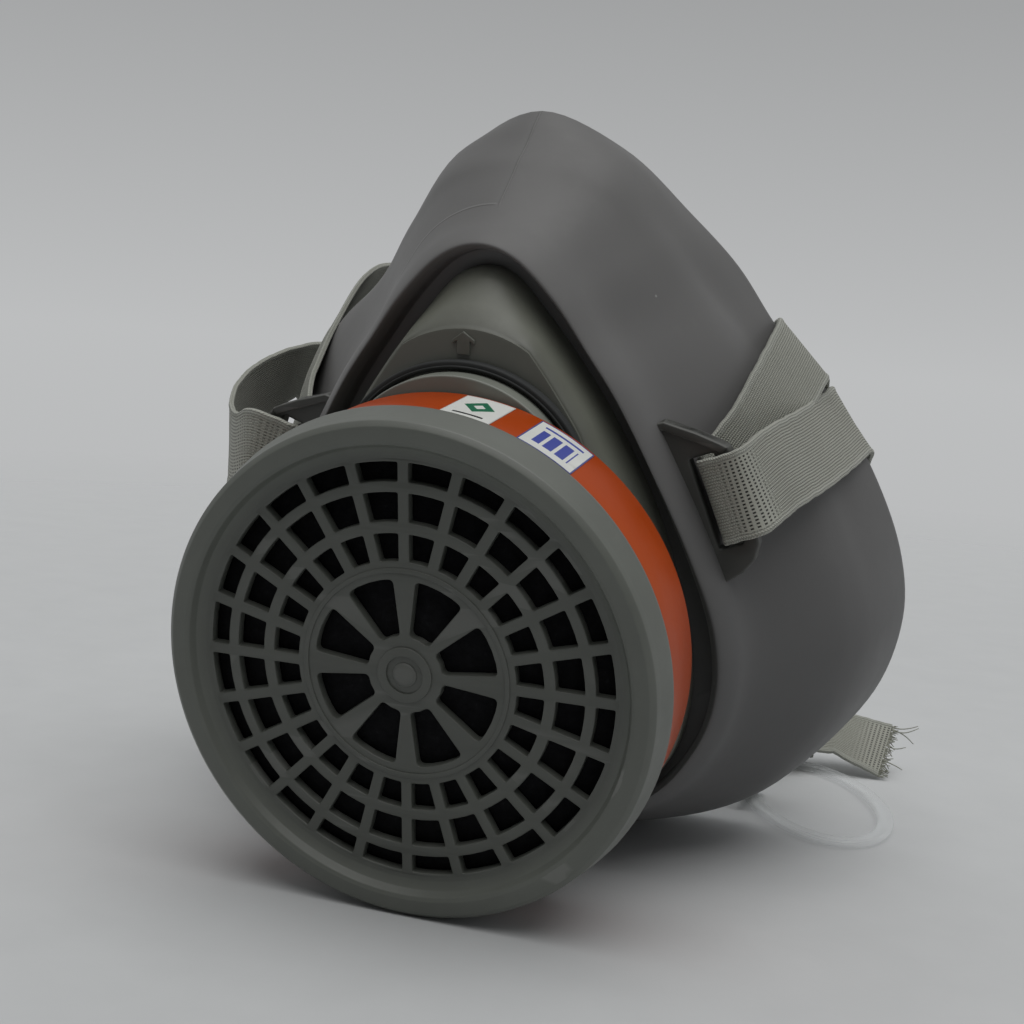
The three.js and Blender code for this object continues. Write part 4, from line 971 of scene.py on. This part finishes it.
# where the soft bands settle a little off the modelled path: over the rims, on the crown ring, and at the curled cut end
STRAP_R[7] = ((45.1, 39.8, -88.2), (0.632, -0.754, -0.182))
STRAP_R[8] = ((46.8, 41.6, -80.4), (0.632, -0.754, -0.182))
STRAP_R[0] = ((41.2, -55.7, -93.0), STRAP_R[0][1])
STRAP_R[1] = ((37.6, -55.2, -93.6), STRAP_R[1][1])
STRAP_L[10] = ((-43.7, 47.2, -87.6), STRAP_L[10][1])
STRAP_L[11] = ((-45.3, 47.0, -79.6), STRAP_L[11][1])
STRAP_L[12] = ((-45.2, 38.3, -64.0), STRAP_L[12][1])
STRAP_R[20] = ((54.9, 27.6, -79.0), STRAP_R[20][1])
STRAP_R[21] = ((55.6, 27.2, -88.4), STRAP_R[21][1])
STRAP_R[38] = ((51.86, -56.29, -131.63), (-0.375, -0.153, 0.914))
STRAP_R[39] = ((57.95, -57.99, -132.06), (-0.446, -0.259, 0.857))
STRAP_R[40] = ((63.82, -59.67, -132.40), (-0.496, -0.351, 0.794))


def strap(name, st, per, opened, node, width=STRAP_W, part=None):
    """flat elastic webbing with rolled selvedges; opened = [(station, reach in mm, amount)]"""
    cs = [Vector(s[0]) for s in st]
    ws = [Vector(s[1]).normalized() for s in st]
    line = centripetal(cs, per)
    P = [p for _, _, p in line]
    L = [0.0]
    for a, b in zip(P, P[1:]):
        L.append(L[-1] + (b - a).length)
    at_station = [L[min(k * per, len(L) - 1)] for k in range(len(st))]
    prof = [(-7.5, 0.0), (-7.44, 0.26), (-7.25, 0.44), (-7.0, 0.52), (-6.7, 0.50), (-6.4, 0.42), (-6.0, 0.40), (-4.0, 0.43), (-2.0, 0.43), (0.0, 0.43),
            (2.0, 0.43), (4.0, 0.43), (6.0, 0.40), (6.4, 0.42), (6.7, 0.50), (7.0, 0.52), (7.25, 0.44), (7.44, 0.26), (7.5, 0.0)]
    ring = prof + [(s, -h) for s, h in reversed(prof[1:-1])]
    secs, uvs, op = [], [], []
    for i, (k, u, p) in enumerate(line):
        t = (P[min(i + 1, len(P) - 1)] - P[max(i - 1, 0)]).normalized()
        k1 = min(k + 1, len(st) - 1)
        w = ws[k].lerp(ws[k1], u)
        w = (w - t * w.dot(t)).normalized()
        up = t.cross(w).normalized()
        wob = 0.05 * math.sin(L[i] * 0.9) + 0.04 * math.sin(L[i] * 2.3 + 1)
        secs.append([R(p + w * (s * (1 + wob / 7.5) * width / 15.0) + up * h) for s, h in ring])
        o = 0.0
        for kk, reach, amount in opened:
            d = abs(L[i] - at_station[kk]) / reach
            o = max(o, amount * max(0.0, min(1.0, 1.6 * (1.0 - d))))
        for s, h in ring:
            uvs.append((L[i], s + 7.5))
            op.append(o)
    if part:
        i0, i1 = part[0] * per, min(part[1] * per, len(line) - 1)
        n = len(ring)
        secs, uvs, op = secs[i0:i1 + 1], uvs[i0 * n:(i1 + 1) * n], op[i0 * n:(i1 + 1) * n]
    v, f = loft(secs, False)
    o = make(name, v, f, m_web, uv=uvs)
    at = o.data.attributes.new("open", "FLOAT", "POINT")
    at.data.foreach_set("value", op)
    o.data.set_sharp_from_angle(angle=math.radians(75))
    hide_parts(node)
    return o, P, L


N_WR = [i for i, s in enumerate(STRAP_R) if abs(s[0][2] + 36.3) < 0.01 or abs(s[0][2] + 35.7) < 0.01]
fold_r = max(N_WR) if N_WR else 15
s_right, PR, LR = strap("strap_right_webbing", STRAP_R, 10, [(fold_r, 5.5, 1.0), (40, 9.0, 0.85)], "strap_right")
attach(s_right, "mask")
N_WL = [i for i, s in enumerate(STRAP_L) if abs(s[0][2] + 35.7) < 0.01 or abs(s[0][2] + 35.6) < 0.01]
fold_l = max(N_WL) if N_WL else 15
open_l = [(fold_l, 5.0, 0.6), (fold_l + 2, 9.0, 1.0), (fold_l + 3, 8.0, 1.0)]
rim_l = [i for i, s in enumerate(STRAP_L) if abs(s[0][2] + 89.0) < 0.01][0]
s_left, PL, LL = strap("strap_left_webbing", STRAP_L, 10, open_l, "strap_left", part=(0, rim_l))
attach(s_left, "mask")
# the neck run, from the rim to the clasp
s_neck, PN, LN = strap("strap_left_neck_run", STRAP_L, 10, [], "strap_left", part=(rim_l, len(STRAP_L)))
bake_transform(s_neck)

# frayed yarns at the cut end
yarns = []
end, pre = Vector(STRAP_R[-1][0]), Vector(STRAP_R[-2][0])
tdir = (end - pre).normalized()
wdir = Vector(STRAP_R[-1][1]).normalized()
wdir = (wdir - tdir * wdir.dot(tdir)).normalized()
udir = tdir.cross(wdir)


def tube_along(pts, r0, r1, sides=5):
    secs = []
    for i, p in enumerate(pts):
        t = (pts[min(i + 1, len(pts) - 1)] - pts[max(i - 1, 0)]).normalized()
        a = t.cross(Vector((0.3, 0.9, 0.2))).normalized()
        b = t.cross(a)
        r = r0 + (r1 - r0) * i / (len(pts) - 1)
        secs.append([R(p + a * (r * math.cos(2 * math.pi * k / sides)) + b * (r * math.sin(2 * math.pi * k / sides))) for k in range(sides)])
    return loft(secs, False)


V, F = [], []
for i in range(58):
    s = -7.2 + 14.4 * i / 57 + RNG.uniform(-0.12, 0.12)
    ln = RNG.uniform(0.7, 2.4)
    if i in (2, 3, 5):
        ln = RNG.uniform(5.5, 8.0)
    if i in (24, 40):
        ln = RNG.uniform(4.0, 5.5)
    base = end - tdir * 0.8 + wdir * s
    side, drop = RNG.uniform(-0.5, 0.5), RNG.uniform(-0.5, 0.25)
    pts = []
    for k in range(9):
        q = k / 8
        pts.append(base + tdir * (0.8 + ln * q) + wdir * (side * ln * q * q + 0.12 * math.sin(5 * q + i)) + udir * (drop * ln * q * q + 0.1 * math.sin(7 * q + i * 2)))
    v, f = tube_along(pts, 0.17, 0.09)
    n0 = len(V)
    V += v
    F += [tuple(n0 + j for j in q) for q in f]
fray = make("strap_right_fray", V, F, m_yarn)
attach(fray, "mask")


# ---------------------------------------------------------------- crown ring: clear oval, thicker rounded edges
RG = dict(x=52.4, y=-58.3, z=-98.3, a=30.0, b=15.4, band=3.6, t=1.4, ax=(0.342, 0.94))
secs = []
for i in range(144):
    fgl = 2 * math.pi * i / 144
    cs, sn = math.cos(fgl), math.sin(fgl)

    def at(g, h):
        p, q = (RG["a"] + g) * cs, (RG["b"] + g) * sn
        X, Zz = p * RG["ax"][0] + q * RG["ax"][1], p * RG["ax"][1] - q * RG["ax"][0]
        # the plane of the ring is parallel to the ground
        y = h * CT + Zz * ST
        z = -h * ST + Zz * CT
        return R((RG["x"] + X, RG["y"] + y, RG["z"] + z))
    bw = RG["band"]
    prof = [(0.0, 0.0), (-0.15, 0.45), (-0.5, 0.7), (-0.9, 0.62), (-1.3, 0.4), (-1.8, 0.32), (-bw + 1.3, 0.4), (-bw + 0.9, 0.62), (-bw + 0.5, 0.7), (-bw + 0.15, 0.45),
            (-bw, 0.0), (-bw + 0.15, -0.45), (-bw + 0.5, -0.7), (-bw + 0.9, -0.62), (-bw + 1.3, -0.4), (-1.8, -0.32), (-1.3, -0.4), (-0.9, -0.62), (-0.5, -0.7), (-0.15, -0.45)]
    secs.append([at(g, h) for g, h in prof])
v, f = loft(secs, True)
ring = make("crown_ring_moulding", v, f, m_clear)
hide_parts("crown_ring")
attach(ring, "mask")


# ---------------------------------------------------------------- carried-over nodes: welded, rounded edges, real finishes
def finish_node(node, mat, bevel=0.00022, ang=38):
    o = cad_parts[node]
    me = o.data
    me.materials.clear()
    me.materials.append(mat.m)
    me.polygons.foreach_set("material_index", [0] * len(me.polygons))
    me.polygons.foreach_set("use_smooth", [True] * len(me.polygons))
    w = o.modifiers.new("weld", "WELD")
    w.merge_threshold = 1e-6
    if bevel:
        b = o.modifiers.new("round", "BEVEL")
        b.width = bevel
        b.segments = 2
        b.limit_method = "ANGLE"
        b.angle_limit = math.radians(ang)
        b.harden_normals = True
    me.set_sharp_from_angle(angle=math.radians(ang))


for node, mat, bv in (("cartridge_shell", m_shell, 0.0002), ("prefilter_disc", m_fleece, 0), ("front_sieve", m_sieve, 0),
                      ("rear_sieve", m_sieve, 0), ("carbon_bed", m_carbon, 0), ("cartridge_gasket", m_seal, 0.0002),
                      ("inhalation_valve_seat", m_housing, 0.0002), ("inhalation_valve_flap", m_flap, 0),
                      ("exhalation_valve_seat", m_housing, 0.0002), ("exhalation_valve_flap", m_flap, 0),
                      ("exhalation_valve_cover", m_cap, 0.0002), ("neck_clasp_socket", m_buckle, 0.0003), ("neck_clasp_prong", m_buckle, 0.0003)):
    finish_node(node, mat, bv)

# ---------------------------------------------------------------- stage and light
m_floor = NT("studio_floor")
if True:
    m = m_floor
    c = m.coord()
    x, y, z = m.xyz(c)
    r = m.math("SQRT", m.math("ADD", m.math("MULTIPLY", x, x), m.math("MULTIPLY", y, y)))
    alpha = m.maprange(r, 0.22, 0.85, 1.0, 0.0)
    grain = m.noise(60, 4, 0.6)
    col = m.ramp(grain, [(0.3, (0.53, 0.54, 0.545)), (0.7, (0.55, 0.56, 0.565))])
    m.set(Base_Color=col, Roughness=0.75, Specular_IOR_Level=0.2, Alpha=alpha)
v = [(0.0, 0.0, 0.0)]
rings = [0.05, 0.12, 0.2, 0.3, 0.45, 0.7, 1.0, 1.3]
for rr in rings:
    v += [(rr * math.cos(2 * math.pi * i / 96), rr * math.sin(2 * math.pi * i / 96), 0.0) for i in range(96)]
f = [(0, 1 + i, 1 + (i + 1) % 96) for i in range(96)]
for k in range(len(rings) - 1):
    a = 1 + k * 96
    f += [(a + i, a + 96 + i, a + 96 + (i + 1) % 96, a + (i + 1) % 96) for i in range(96)]
floor = make("floor", [Vector(q) for q in v], f, m_floor)
floor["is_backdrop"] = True

world = bpy.data.worlds.new("World")
SCN.world = world
world.use_nodes = True
wt = world.node_tree
bg = wt.nodes["Background"]
# a pale backdrop that darkens overhead, and a dark studio on the near side of the table
tc = wt.nodes.new("ShaderNodeTexCoord")
sx = wt.nodes.new("ShaderNodeSeparateXYZ")
wt.links.new(tc.outputs["Generated"], sx.inputs[0])
up = wt.nodes.new("ShaderNodeValToRGB")
mr = wt.nodes.new("ShaderNodeMapRange")
for k, q in zip((1, 2, 3, 4), (-0.1, 0.9, 0.0, 1.0)):
    mr.inputs[k].default_value = q
wt.links.new(sx.outputs[2], mr.inputs[0])
wt.links.new(mr.outputs[0], up.inputs[0])
cr = up.color_ramp
for pos, q in ((0.0, 0.50), (0.10, 0.515), (0.33, 0.36), (0.6, 0.42), (1.0, 0.55)):
    e = cr.elements[0] if pos == 0.0 else (cr.elements[-1] if pos == 1.0 else cr.elements.new(pos))
    e.position = pos
    e.color = (q * 0.985, q, q * 1.01, 1)
near = wt.nodes.new("ShaderNodeMapRange")
for k, q in zip((1, 2, 3, 4), (-0.75, 0.05, 0.22, 1.0)):
    near.inputs[k].default_value = q
near.interpolation_type = "SMOOTHSTEP"
wt.links.new(sx.outputs[1], near.inputs[0])
wt.links.new(up.outputs[0], bg.inputs[0])
wt.links.new(near.outputs[0], bg.inputs[1])


# one broad, soft overhead light, a little to the right and in front
d = bpy.data.lights.new("overhead", "SUN")
d.energy = 1.55
d.angle = math.radians(60)
d.color = (1.0, 0.995, 0.985)
sun = bpy.data.objects.new("overhead", d)
sun.rotation_euler = Vector((-0.16, 0.22, -1.0)).to_track_quat("-Z", "Y").to_euler()
SCN.collection.objects.link(sun)
SCN.view_settings.view_transform = "Standard"
SCN.view_settings.look = "None"
SCN.view_settings.exposure = 0.0

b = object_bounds()
